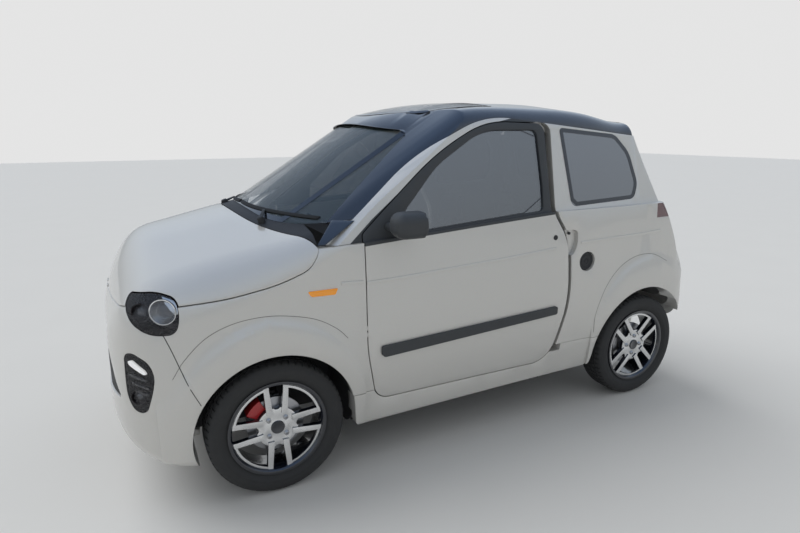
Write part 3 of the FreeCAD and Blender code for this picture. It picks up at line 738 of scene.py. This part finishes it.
tyres = {
    "profile": [  # out from the middle, radius; the half that is mirrored
        (61.7, 191.0), (61.7, 205.0), (66.0, 212.0), (71.5, 218.5), (74.6, 227.0), (75.8, 230.0), (76.3, 233.0),
        (75.6, 235.0), (76.9, 240.0), (77.4, 247.0), (76.6, 256.0), (75.6, 258.0), (75.4, 260.5), (74.2, 263.0),
        (72.4, 268.0), (68.8, 273.6), (63.8, 277.8), (57.5, 280.4), (47.0, 282.4), (38.6, 282.9), (37.4, 276.6),
        (31.6, 276.6), (30.4, 283.2), (18.0, 283.4), (4.6, 283.5), (3.4, 277.0)],
    "pitches": 60,
    "steps": 5,
    "grooveDepth": 0.0042,
    "grooves": [  # from and to out from the middle, above this radius, from and to in steps of the pitch
        (0.0390, 0.0700, 0.268, 4.0, 5.0), (0.0070, 0.0300, 0.282, 1.9, 3.1)],
}


def makeTyre(axle, side):
    half = [(y * 0.001, r * 0.001) for y, r in tyres["profile"]]
    whole = half + [(-y, r) for y, r in reversed(half)]
    pitch = 360.0 / tyres["pitches"]
    step = math.radians(pitch / tyres["steps"])
    piece = lathe("tyre." + axle + "_" + side, whole, tyres["steps"], pitch)

    def inGroove(face):
        turn = abs(math.atan2(face.center.x, face.center.z))
        y, r = abs(face.center.y), Vector((face.center.x, face.center.z)).length
        return any(inner < y < outer and r > above and step * first < turn < step * last
                   for inner, outer, above, first, last in tyres["grooves"])

    chooseFaces(piece, inGroove)
    bpy.ops.mesh.extrude_region_move()
    depth = 1 - tyres["grooveDepth"] / wheels["radius"]
    bpy.ops.transform.resize(value=(depth, 1, depth), center_override=(0, 0, 0))
    chooseAll()
    copies = tyres["pitches"] - 1
    bpy.ops.mesh.spin(steps=copies, angle=math.radians(pitch * copies), center=(0, 0, 0), axis=(0, 1, 0),
                      dupli=True)
    chooseAll()
    bpy.ops.mesh.remove_doubles(threshold=0.00003)
    bpy.ops.mesh.normals_make_consistent(inside=False)
    doneEditing()
    smooth(piece, 38)
    piece.location = (wheels["axles"][axle], sides[side] * wheels["centreY"], wheels["radius"])
    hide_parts("tyre_" + axle + "_" + side)
    finishPiece(piece, "wheel_" + axle + "_" + side, "tyre_rubber", "tyre")


knuckles = {
    "caliperAhead": 0.0265,  # the caliper is ahead of the hub by more than this, and above it
    "edgeRoll": 0.0022,
}


def makeKnuckle(side):
    node = "knuckle_" + side
    piece = mergedCopy(node, node + ".brake")
    for face in piece.data.polygons:
        ahead, up = face.center.x - wheels["axles"]["front"], face.center.z - wheels["radius"]
        face.material_index = int(ahead > knuckles["caliperAhead"] and up > 0.0)
    rollEdges(piece, knuckles["edgeRoll"], segments=3, degrees=42)
    smooth(piece)
    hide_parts(node)
    finishPiece(piece, bodyOf(node), "cast_metal", "cast", "caliper")


for axle, side in corners:
    makeRimParts(axle, side)
    makeTyre(axle, side)
for side in sides:
    makeKnuckle(side)
print("tyres, bolts and brakes made")


lamps = {
    "shells": [("lens", 0.0025, "lens"), ("bowl", 0.0020, "lampBowl")],  # kind, wall, look
    "facing": 0.35,
    "cell": 0.015,
    "reflectors": [  # name, across, up, radius, sunk, look
        ("projector", 1362, 816, 0.032, 0.042, "lampBowl"),
        ("highBeam", 1268, 822, 0.044, 0.040, "chrome"),
        ("fogLamp", 1386, 502, 0.026, 0.034, "lampBowl"),
    ],
    "cup": [  # out, radius in metres, radius as a share of the reflector's
        (0.0, 0.0001, 0), (0.001, 0.010, 0), (0.008, 0, 0.62), (0.018, 0, 0.88), (0.028, 0, 1),
        (0.031, 0, 1.04), (0.031, 0, 1.12), (0.026, 0, 1.12), (0.010, 0, 0.80), (-0.002, 0.010, 0),
        (-0.002, 0.0001, 0)],
    "dome": [(0.004, 0, 0.70), (0.014, 0, 0.66), (0.022, 0, 0.52), (0.027, 0, 0.30), (0.029, 0.0001, 0)],
    "strips": [  # name, look, lift, depth, edge, outline
        ("dayLight", "lamplight", -0.008, 0.008, 0.0015,
         [(1434, 632, 5), (1414, 640, 8), (1354, 606, 5), (1345, 592, 5), (1358, 590, 5), (1428, 620, 8)]),
        ("lampBrow", "chrome", -0.010, 0.006, 0.001,
         [(1290, 880, 12), (1216, 858, 16), (1204, 812, 12), (1232, 812, 10), (1262, 852, 10)]),
    ],
    "fins": [(1424, 590), (1416, 560), (1404, 530)],
    "fin": [(0, 0, 2), (0, -9, 2), (-76, -27, 2), (-76, -18, 2)],
}


def makeLampShell(kind, wall, look):
    piece = mergedCopy("front_lamps", "headlamp." + kind)

    def outward(face):
        way = Vector(views["lamp"][2])
        if face.center.y < 0:
            way.y = -way.y
        return face.normal.dot(way) > lamps["facing"]

    chooseFaces(piece, lambda face: outward(face) != (kind == "lens"))
    bpy.ops.mesh.delete(type="FACE")
    doneEditing()
    thicken(piece, wall)
    smooth(piece)
    if kind == "lens":
        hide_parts("front_lamps")
    finishPiece(piece, "body", "lamp_lens", look)


def makeLamps():
    for kind, wall, look in lamps["shells"]:
        makeLampShell(kind, wall, look)
    out = Vector(views["lamp"][2])
    for name, across, up, radius, sunk, look in lamps["reflectors"]:
        place = onSkin("front_lamps", "lamp", across, up, sunk)
        for kind, softAngle, material in (("cup", 40, look), ("dome", 60, "lampDome")):
            profile = [(y, r + share * radius) for y, r, share in lamps[kind]]
            piece = turned(name + "." + kind, profile, place, out, softAngle=softAngle)
            dressBoth(piece, "body", "lamp_lens", material)
    for name, look, lift, depth, edge, outline in lamps["strips"]:
        strip = patch(name, outline, "lamp", "front_lamps", lift, depth, lamps["cell"], edge)
        dressBoth(strip, "body", "lamp_lens", look)
    for i, (across, up) in enumerate(lamps["fins"]):
        outline = [(across + a, up + b, run) for a, b, run in lamps["fin"]]
        fin = patch("podFin.%d" % i, outline, "lamp", "front_lamps", lift=-0.006, depth=0.010,
                    cell=lamps["cell"], edge=0.001)
        dressBoth(fin, "body", "lamp_lens", "black")


makeLamps()
print("front lamps made")


sideParts = {
    "indicator": [(752, 851, 10), (738, 828, 10), (638, 826, 6), (626, 851, 6)],
    "handle": [(-532, 978, 8), (-596, 976, 10), (-598, 962, 6), (-532, 964, 6)],
    "lockAt": (-496, 957),
    "lock": [(-0.004, 0.0001), (-0.004, 0.0125), (0.0012, 0.0125), (0.0026, 0.0110), (0.0020, 0.0080),
             (0.0024, 0.0001)],
    "fuelCapAt": (-0.703, 0.7165, 0.820),
    "fuelCap": [(-0.001, 0.0001), (-0.001, 0.0470), (0.0060, 0.0470), (0.0085, 0.0450), (0.0085, 0.0350),
                (0.0070, 0.0335), (0.0070, 0.0300), (0.0090, 0.0285), (0.0095, 0.0150), (0.0080, 0.0140),
                (0.0080, 0.0075), (0.0105, 0.0068), (0.0105, 0.0001)],
}


def makeSideParts():
    out = (0, 1, 0)
    lens = patch("indicator.left", sideParts["indicator"], "side", "fenders", lift=0.004, depth=0.007,
                 cell=0.012, edge=0.0018)
    dressBoth(lens, "body", "lamp_lens", "amber")
    place = onSkin("door_left", "side", *sideParts["lockAt"])
    lock = turned("lock.left", sideParts["lock"], place, out, steps=32)
    dressBoth(lock, "door_left", "dark_plastic", "dark")
    cap = turned("fuelCap", sideParts["fuelCap"], Vector(sideParts["fuelCapAt"]), out, steps=56)
    finishPiece(cap, "body", "dark_plastic", "dark")
    pull = patch("handle.left", sideParts["handle"], "side", "quarter_panels", lift=0.012, depth=0.009,
                 cell=0.012, edge=0.002)
    dressBoth(pull, "body", "dark_plastic", "dark")


makeSideParts()
print("side pieces made")


pillarFoot = {
    "corners": {  # place of each corner of the plate
        (-1, -1): (0.690, 0.690, 1.022),
        (1, -1): (0.662, 0.700, 1.022),
        (1, 1): (0.523, 0.668, 1.106),
        (-1, 1): (0.600, 0.608, 1.104),
    },
    "wall": 0.004,
    "edge": 0.0012,
}


def makePillarFoot():
    # black trim that closes the corner between windscreen, cowl and fender
    bpy.ops.mesh.primitive_grid_add(x_subdivisions=1, y_subdivisions=1, size=1)
    piece = bpy.context.object
    piece.name = "pillarFoot.left"
    for vertex in piece.data.vertices:
        key = (1 if vertex.co.x > 0 else -1, 1 if vertex.co.y > 0 else -1)
        vertex.co = Vector(pillarFoot["corners"][key])
    modify(piece, "SUBSURF", levels=3, render_levels=3, subdivision_type="SIMPLE")
    if sum(face.normal.y for face in piece.data.polygons) < 0:
        turnOver(piece)
    thicken(piece, pillarFoot["wall"])
    rollEdges(piece, pillarFoot["edge"], segments=2, degrees=50)
    smooth(piece)
    dressBoth(piece, "body", "gloss_black", "black")


makePillarFoot()


ribbons = {
    "pointEvery": 16,
    "kinds": {  # width in millimetres, lift and depth in metres, rolled edge, slot, look
        "crease": (13, 0.0030, 0.005, 0.0012, "body_paint", "pearl"),
        "flareLine": (2.4, 0.0003, 0.003, 0, "dark_plastic", "fold"),
        "bumperSeam": (3.0, 0.0003, 0.003, 0, "dark_plastic", "seam"),
    },
    "lines": {  # name: nodes that carry it, body, points seen from the side
        "crease.fender": ("fenders", "body", [(612, 866), (575, 866), (516, 862)]),
        "crease.door_left": ("door_left", "door_left", [
            (500, 856), (307, 861), (59, 872), (-212, 885), (-500, 905)]),
        "crease.quarter": ("quarter_panels", "body", [(-655, 919), (-846, 925), (-1060, 930), (-1225, 937)]),
        "flareLine.front": ("fenders+front_bumper", "body", [
            (1265, 574), (1219, 643), (1138, 719), (1040, 761), (928, 774), (825, 763), (719, 733), (636, 682),
            (590, 634)]),
        "flareLine.rear": ("quarter_panels+rear_bumper+sills", "body", [
            (-780, 430), (-790, 539), (-844, 667), (-932, 762), (-1047, 812), (-1174, 812), (-1285, 764)]),
        "bumperSeam": ("fenders+front_bumper", "body", [(1283, 752), (1256, 677), (1218, 559), (1177, 462)]),
    },
}


def throughPoints(line, every):
    # evenly spaced points of a smooth curve through the line's points
    points = [Vector(p) for p in line]
    lengths = [(b - a).length for a, b in zip(points, points[1:])]
    count = max(2, round(sum(lengths) / every))
    curve = []
    for k in range(count + 1):
        reach = min(sum(lengths) * k / count, sum(lengths) - 0.001)
        i = 0
        while reach > lengths[i]:
            reach -= lengths[i]
            i += 1
        t = reach / lengths[i]
        p1, p2 = points[i], points[i + 1]
        p0 = points[i - 1] if i else p1 * 2 - p2
        p3 = points[i + 2] if i + 2 < len(points) else p2 * 2 - p1
        curve.append(0.5 * (2 * p1 + (p2 - p0) * t + (2 * p0 - 5 * p1 + 4 * p2 - p3) * t * t
                            + (3 * p1 - p0 - 3 * p2 + p3) * t ** 3))
    return curve


def makeRibbon(name):
    nodeNames, body, line = ribbons["lines"][name]
    width, lift, depth, edge, slotName, look = ribbons["kinds"][name.split(".")[0]]
    curve = throughPoints(line, ribbons["pointEvery"])
    count = len(curve) - 1
    bpy.ops.mesh.primitive_grid_add(x_subdivisions=count, y_subdivisions=1, size=1)
    piece = bpy.context.object
    piece.name = name
    for vertex in piece.data.vertices:
        k = min(count, max(0, round((vertex.co.x + 0.5) * count)))
        run = curve[min(k + 1, count)] - curve[max(k - 1, 0)]
        aside = Vector((-run.y, run.x)).normalized() * width / 2 * (1 if vertex.co.y > 0 else -1)
        vertex.co = onSkin(nodeNames, "side", *(curve[k] + aside), -lift)
    editing(piece, True)
    bpy.ops.mesh.normals_make_consistent(inside=False)
    doneEditing()
    if piece.data.polygons[0].normal.y < 0:
        turnOver(piece)
    thicken(piece, depth)
    if edge:
        rollEdges(piece, edge, segments=3, degrees=50)
    smooth(piece)
    dressBoth(piece, body, slotName, look)


for name in ribbons["lines"]:
    makeRibbon(name)
print("creases and seams made")


mirrors = {
    "voxel": 0.004,
    "rounds": 14,
    "pane": [(0.0, 0.0001), (0.0, 0.052), (0.0016, 0.052), (0.0026, 0.050), (0.0026, 0.0001)],
    "paneShape": (1.05, 1, 0.80),
    "paneAt": (0.2945, 0.816, 1.095),
}


def makeMirror(side):
    # a shell rounded off from the solid, and its pane facing back
    node = "mirror_" + side
    piece = mergedCopy(node, node + ".shell")
    modify(piece, "REMESH", mode="VOXEL", voxel_size=mirrors["voxel"])
    modify(piece, "SMOOTH", factor=0.5, iterations=mirrors["rounds"])
    smooth(piece, 60)
    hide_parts(node)
    finishPiece(piece, bodyOf(node), "dark_plastic", "trim")
    pane = lathe("mirrorPane." + side, mirrors["pane"], steps=48)
    pane.scale = mirrors["paneShape"]
    settle(pane)
    smooth(pane)
    x, y, z = mirrors["paneAt"]
    setDown(pane, Vector((x, sides[side] * y, z)), (-1, 0, 0))
    finishPiece(pane, bodyOf(node), "dark_plastic", "chrome")


for side in sides:
    makeMirror(side)
print("mirrors made")


bands = {
    "wall": 0.0012,
    "panes": {  # glass node: outward direction, width of the band
        "windscreen": ((0.5, 0, 0.8), 0.028),
        "quarter_glass": ((0, 1, 0.2), 0.020),
        "tailgate_glass": ((-1, 0, 0.4), 0.026),
        "door_glass_left": ((0, 1, 0.2), 0.005),
        "door_glass_right": ((0, -1, 0.2), 0.005),
        "roof_glass": ((0, 0, 1), 0.016),
    },
}


def makeBand(node):
    # the black printed edge of a pane
    way, width = bands["panes"][node]
    piece = mergedCopy(node, node + ".band")

    def innerFace(face):
        toward = Vector(way)
        if node == "quarter_glass" and face.center.y < 0:
            toward.y = -toward.y
        return face.normal.dot(toward.normalized()) < 0.5

    chooseFaces(piece, innerFace)
    bpy.ops.mesh.delete(type="FACE")
    chooseAll()
    bpy.ops.mesh.dissolve_limited(angle_limit=math.radians(0.5))
    chooseAll()
    bpy.ops.mesh.inset(thickness=width, use_boundary=True, use_even_offset=True)
    bpy.ops.mesh.delete(type="FACE")  # the middle, which the inset leaves chosen
    doneEditing()
    modify(piece, "SOLIDIFY", thickness=bands["wall"], offset=1.0)
    smooth(piece)
    finishPiece(piece, bodyOf(node), "dark_plastic", "black")


for node in bands["panes"]:
    makeBand(node)
print("glass bands made")


wipers = {
    "sweeps": [  # name, pivot, then the blade's start and end seen from the front
        ("outer", (0.842, 0.395, 1.098), (560, 1112), (60, 1140)),
        ("inner", (0.905, -0.110, 1.122), (30, 1141), (-440, 1124))],
    "bladeHalf": 5.0,
    "boss": [(-0.020, 0.0001), (-0.020, 0.016), (0.006, 0.015), (0.010, 0.011), (0.011, 0.0001)],
    "bossTilt": (0.35, 0, 1),
}


def makeWipers():
    for name, pivot, first, last in wipers["sweeps"]:
        a, b = Vector(first), Vector(last)
        across = Vector(((b - a).y, -(b - a).x)).normalized() * wipers["bladeHalf"]
        outline = [(*corner, 2) for corner in (a + across, b + across, b - across, a - across)]
        blade = patch("wiperBlade." + name, outline, "front", "windscreen", lift=0.011, depth=0.010,
                      cell=0.03, edge=0.0012)
        finishPiece(blade, "body", "dark_plastic", "seal")
        middle = onSkin("windscreen", "front", *((a + b) / 2), sink=-0.016)
        arm = bar("wiperArm." + name, pivot, middle, width=0.018, thickness=0.008, edge=0.0015, taper=0.6)
        finishPiece(arm, "body", "dark_plastic", "dark")
        way = Vector(wipers["bossTilt"]).normalized()
        boss = turned("wiperBoss." + name, wipers["boss"], Vector(pivot), way, steps=28)
        finishPiece(boss, "body", "dark_plastic", "dark")


makeWipers()
print("wipers made")


seats = {
    "middleY": 0.295,
    "voxel": 0.006,
    "pressure": 4.0,
    "clothSteps": 4,
    "clothMass": 0.3,
    "frames": 20,
    "fill": 0.8,
    "roundness": 0.42,
    "seamWidth": 0.012,
    "pads": {  # reach caps the swelling; a seam has a point, the direction across it and its depth
        "cushion": {
            "middle": (-0.115, 0.357), "size": (0.345, 0.395, 0.085), "tilt": 4.0, "taper": 0.96,
            "reach": 0.024,
            "seams": [((-0.03, 0, 0), (1, 0, 0), 0.005), ((-0.13, 0, 0), (1, 0, 0), 0.005),
                      ((0, -0.125, 0), (0, 1, 0), 0.006), ((0, 0.125, 0), (0, 1, 0), 0.006)]},
        "back": {
            "middle": (-0.4185, 0.610), "size": (0.070, 0.390, 0.440), "tilt": -19.5, "taper": 0.90,
            "reach": 0.024,
            "seams": [((0, 0, 0.52), (0, 0, 1), 0.005), ((0, 0, 0.66), (0, 0, 1), 0.005),
                      ((0, -0.125, 0), (0, 1, 0), 0.006), ((0, 0.125, 0), (0, 1, 0), 0.006)]},
        "head": {
            "middle": (-0.522, 0.985), "size": (0.046, 0.230, 0.165), "tilt": -7.0, "taper": 0.88,
            "reach": 0.016,
            "seams": []},
    },
    "shell": [(0.080, 0.226), (0.080, 0.298), (0.060, 0.330), (-0.270, 0.322), (-0.372, 0.352), (-0.470, 0.600),
              (-0.520, 0.865), (-0.528, 0.865), (-0.528, 0.790), (-0.428, 0.385), (-0.402, 0.226)],
    "shellHalf": 0.205,
    "posts": {"a": -0.05, "b": 0.05},
    "postFoot": (-0.495, 0.80),
    "postTop": (-0.522, 0.93),
}


def swell(piece, reach):
    # inflate with cloth pressure, and cap how far any point moves
    modify(piece, "REMESH", mode="VOXEL", voxel_size=seats["voxel"])
    start = [v.co.copy() for v in piece.data.vertices]
    pick(piece)
    cloth = piece.modifiers.new("cloth", "CLOTH")
    cloth.settings.use_pressure = True
    cloth.settings.uniform_pressure_force = seats["pressure"]
    cloth.settings.effector_weights.gravity = 0.0
    cloth.settings.quality = seats["clothSteps"]
    cloth.settings.mass = seats["clothMass"]
    cloth.point_cache.frame_end = seats["frames"]
    for frameNumber in range(1, seats["frames"] + 1):
        bpy.context.scene.frame_set(frameNumber)
    bpy.ops.object.modifier_apply(modifier="cloth")
    bpy.context.scene.frame_set(1)
    for vertex, first in zip(piece.data.vertices, start):
        step = vertex.co - first
        if step.length > reach:
            vertex.co = first + step * (reach / step.length)


def pad(name, middle, size, tilt, taper):
    # a crowned closed form: a box with rounded corners whose far end is narrower
    bpy.ops.mesh.primitive_cube_add(size=1)
    piece = bpy.context.object
    piece.name = name
    piece.scale = size
    settle(piece)
    far = 0 if size[2] < size[0] else 2
    sign = 1 if far else -1
    chooseFaces(piece, lambda face: face.normal[far] * sign > 0.9)
    bpy.ops.transform.resize(value=(1, taper, 1), center_override=(0, 0, 0))
    chooseAll()
    bpy.ops.mesh.bevel(offset=min(size) * seats["roundness"], segments=5, profile=0.6)
    doneEditing()
    piece.rotation_euler = (0, math.radians(tilt), 0)
    piece.location = (middle[0], 0, middle[1])
    settle(piece)
    return piece


def seam(piece, place, way, depth):
    # a sewn channel along a plane, pressed into the face
    middle, normal, width = Vector(place), Vector(way), seats["seamWidth"]
    for vertex in piece.data.vertices:
        gap = abs((vertex.co - middle).dot(normal))
        if gap < width:
            vertex.co -= vertex.normal * depth * (1 + math.cos(math.pi * gap / width)) / 2


def makePad(kind):
    shape = seats["pads"][kind]
    piece = pad("seat." + kind + ".left", shape["middle"], shape["size"], shape["tilt"], shape["taper"])
    swell(piece, shape["reach"])
    for place, way, depth in shape["seams"]:
        seam(piece, place, way, depth)
    smooth(piece, 70)
    return piece


def makeShell():
    # the moulded shell under the cushion and behind the back
    half = seats["shellHalf"]
    shell = traceLine("seat.shell.left", [(x, -half, z) for x, z in seats["shell"]])
    bpy.ops.mesh.edge_face_add()
    chooseAll()
    bpy.ops.mesh.extrude_region_move(TRANSFORM_OT_translate={"value": (0, half * 2, 0)})
    chooseAll()
    bpy.ops.mesh.normals_make_consistent(inside=False)
    doneEditing()
    rollEdges(shell, width=0.008, segments=3, degrees=25)
    smooth(shell)
    return shell


def makePost(letter, y):
    (footX, footZ), (topX, topZ) = seats["postFoot"], seats["postTop"]
    return bar("seat.post." + letter + ".left", (footX, y, footZ), (topX, y, topZ), width=0.012,
               thickness=0.012, edge=0.004)


def makeSeats():
    made = [(makePad(kind), "seat_fabric", "fabric") for kind in seats["pads"]]
    made.append((makeShell(), "cabin_plastic", "cabin"))
    made += [(makePost(letter, y), "cabin_plastic", "chrome") for letter, y in seats["posts"].items()]
    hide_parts("seats")
    for piece, slotName, look in made:
        piece.location = (0, seats["middleY"], 0)
        settle(piece)
        for one in (piece, otherSide(piece)):
            finishPiece(one, "body", slotName, look)


makeSeats()
print("seats made")


rearParts = {
    "plates": [  # name, node, body, slot, look, lift, depth, outline
        ("plateRecess", "rear_bumper", "body", "dark_plastic", "dark", 0.003, 0.004,
         [(-262, 560, 14), (262, 560, 14), (262, 440, 14), (-262, 440, 14)]),
        ("highLamp", "tailgate", "tailgate", "tail_lens", "tailLens", 0.004, 0.006,
         [(-150, 1536, 4), (150, 1536, 4), (146, 1522, 4), (-146, 1522, 4)]),
        ("handle", "tailgate", "tailgate", "dark_plastic", "dark", 0.010, 0.011,
         [(-110, 742, 8), (110, 742, 8), (104, 716, 8), (-104, 716, 8)]),
    ],
    "reflector": [(-560, 412, 6), (-440, 412, 6), (-440, 388, 6), (-560, 388, 6)],
    "wiperBlade": [(-30, 1112, 2), (-30, 1122, 2), (-430, 1150, 2), (-430, 1140, 2)],
    "wiperBoss": [(-0.004, 0.0001), (-0.004, 0.022), (0.012, 0.020), (0.018, 0.014), (0.019, 0.0001)],
    "wiperPivot": (0, 1095),
    "wiperWay": (-1, 0, 0.2),
}


def makeRear():
    for name, node, body, slotName, look, lift, depth, outline in rearParts["plates"]:
        piece = patch("rear." + name, outline, "rear", node, lift, depth, edge=0.0015)
        finishPiece(piece, body, slotName, look)
    piece = patch("rear.reflector", rearParts["reflector"], "rear", "rear_bumper", lift=0.003, depth=0.005,
                  edge=0.0015)
    dressBoth(piece, "body", "tail_lens", "tailLens")
    blade = patch("rear.wiperBlade", rearParts["wiperBlade"], "rear", "tailgate_glass", lift=0.010,
                  depth=0.009, cell=0.03, edge=0.001)
    finishPiece(blade, "tailgate", "dark_plastic", "seal")
    pivot = onSkin("tailgate+tailgate_glass", "rear", *rearParts["wiperPivot"])
    way = Vector(rearParts["wiperWay"]).normalized()
    boss = turned("rear.wiperBoss", rearParts["wiperBoss"], pivot, way, steps=32)
    finishPiece(boss, "tailgate", "dark_plastic", "dark")


makeRear()
print("rear pieces made")


cabinParts = {
    "plates": [  # name, look, lift, depth, edge, outline
        ("display", "black", 0.006, 0.010, 0.002,
         [(-130, 940, 8), (130, 940, 8), (130, 800, 8), (-130, 800, 8)]),
        ("glovebox", "cabin", 0.005, 0.008, 0.003,
         [(-560, 800, 12), (-230, 800, 12), (-230, 640, 12), (-560, 640, 12)]),
    ],
    "rounds": [  # name, look, places, profile
        ("vent", "dark", [(-560, 925), (-250, 925), (250, 925), (560, 925)],
         [(-0.006, 0.0001), (-0.006, 0.044), (0.006, 0.043), (0.008, 0.040), (0.002, 0.034), (0.000, 0.026),
          (0.004, 0.020), (0.006, 0.012), (0.007, 0.0001)]),
        ("dial", "black", [(262, 952), (398, 952)],
         [(-0.006, 0.0001), (-0.006, 0.060), (0.012, 0.058), (0.016, 0.054), (0.005, 0.048), (0.004, 0.0001)]),
    ],
}


def makeCabin():
    # a middle display, a glovebox lid, round vents and dials on the dashboard's rear face
    for name, look, lift, depth, edge, outline in cabinParts["plates"]:
        plate = patch("dash." + name, outline, "rear", "dashboard", lift, depth, cell=0.03, edge=edge)
        finishPiece(plate, "body", "cabin_plastic", look)
    for name, look, places, profile in cabinParts["rounds"]:
        for i, (across, up) in enumerate(places):
            place = onSkin("dashboard", "rear", across, up)
            piece = turned("dash.%s.%d" % (name, i), profile, place, (-1, 0, 0))
            finishPiece(piece, "body", "cabin_plastic", look)


makeCabin()
print("cabin pieces made")


studio = {
    "floorColour": (0.74, 0.735, 0.72),
    "floorSize": 60.0,
    "mirror": [  # height in the sky, colour that gloss shows
        (0.00, (0.34, 0.36, 0.38)), (0.12, (0.50, 0.54, 0.58)), (0.45, (0.62, 0.72, 0.86)),
        (0.95, (0.30, 0.45, 0.74))],
    "backdrop": (0.78, 0.78, 0.78),
    "lightColour": (0.92, 0.96, 1.0),
    "light": 0.52,
    "keyTurn": (38, 14, 20),
    "keySpread": 50.0,
    "keyEnergy": 1.55,
}


def makeFloor():
    bpy.ops.mesh.primitive_plane_add(size=studio["floorSize"])
    floor = bpy.context.object
    floor.name = "floor"
    graph = Graph("floorMatte")
    colour = studio["floorColour"]
    speckle = graph.noise(2.0, 6.0)
    graph.surface(colour=graph.mix(speckle, times(colour, 0.97), colour), roughness=0.9)
    floor.data.materials.append(graph.owner)


def makeSky():
    # plain light, a daylight sky for what is glossy, and a plain backdrop for the camera
    graph = Graph("studioSky", "worlds", "Generated")
    sky = graph.node("ShaderNodeValToRGB", {"stops": studio["mirror"]}, {"Fac": graph.axis("Z")})
    light = {"Color": studio["lightColour"], "Strength": studio["light"]}
    plain = graph.node("ShaderNodeBackground", {}, light)
    seen = graph.node("ShaderNodeBackground", {}, {"Color": studio["backdrop"]})
    mirrored = graph.node("ShaderNodeBackground", {}, {"Color": sky})
    glossy = graph.node("ShaderNodeLightPath", output="Is Glossy Ray")
    direct = graph.node("ShaderNodeLightPath", output="Is Camera Ray")
    lit = graph.node("ShaderNodeMixShader", {}, {0: glossy, 1: plain, 2: mirrored})
    shown = graph.node("ShaderNodeMixShader", {}, {0: direct, 1: lit, 2: seen})
    graph.feed(graph.tree.nodes["World Output"].inputs["Surface"], shown)
    bpy.context.scene.world = graph.owner


def makeKeyLight():
    bpy.ops.object.light_add(type="SUN", rotation=[math.radians(turn) for turn in studio["keyTurn"]])
    key = bpy.context.object
    key.name = "key"
    key.data.angle = math.radians(studio["keySpread"])
    key.data.energy = studio["keyEnergy"]
    key.visible_glossy = False


camera = {
    "place": (1.35847, 2.77150, 1.45829),
    "yaw": -0.46012,
    "pitch": 0.23727,
    "roll": -0.002216,
    "focal": 559.279,  # in pixels of the picture's width
    "pictureWidth": 800,
    "sensor": 36.0,
}


def makeCamera():
    yaw, pitch, roll = camera["yaw"], camera["pitch"], camera["roll"]
    ahead = Vector((math.sin(yaw) * math.cos(pitch), -math.cos(yaw) * math.cos(pitch), -math.sin(pitch)))
    right = ahead.cross(Vector((0, 0, 1))).normalized()
    up = right.cross(ahead)
    rolledRight = math.cos(roll) * right + math.sin(roll) * up
    rolledUp = -math.sin(roll) * right + math.cos(roll) * up
    bpy.ops.object.camera_add(location=camera["place"])
    view = bpy.context.object
    turn = Matrix((rolledRight, rolledUp, -ahead)).transposed().to_4x4()
    view.matrix_world = Matrix.Translation(camera["place"]) @ turn
    view.data.sensor_width = camera["sensor"]
    view.data.lens = camera["focal"] / camera["pictureWidth"] * camera["sensor"]
    view.data.clip_end = 200.0
    bpy.context.scene.camera = view


makeFloor()
makeSky()
makeKeyLight()
makeCamera()
bpy.context.scene.view_settings.view_transform = "Standard"
print("stage made")
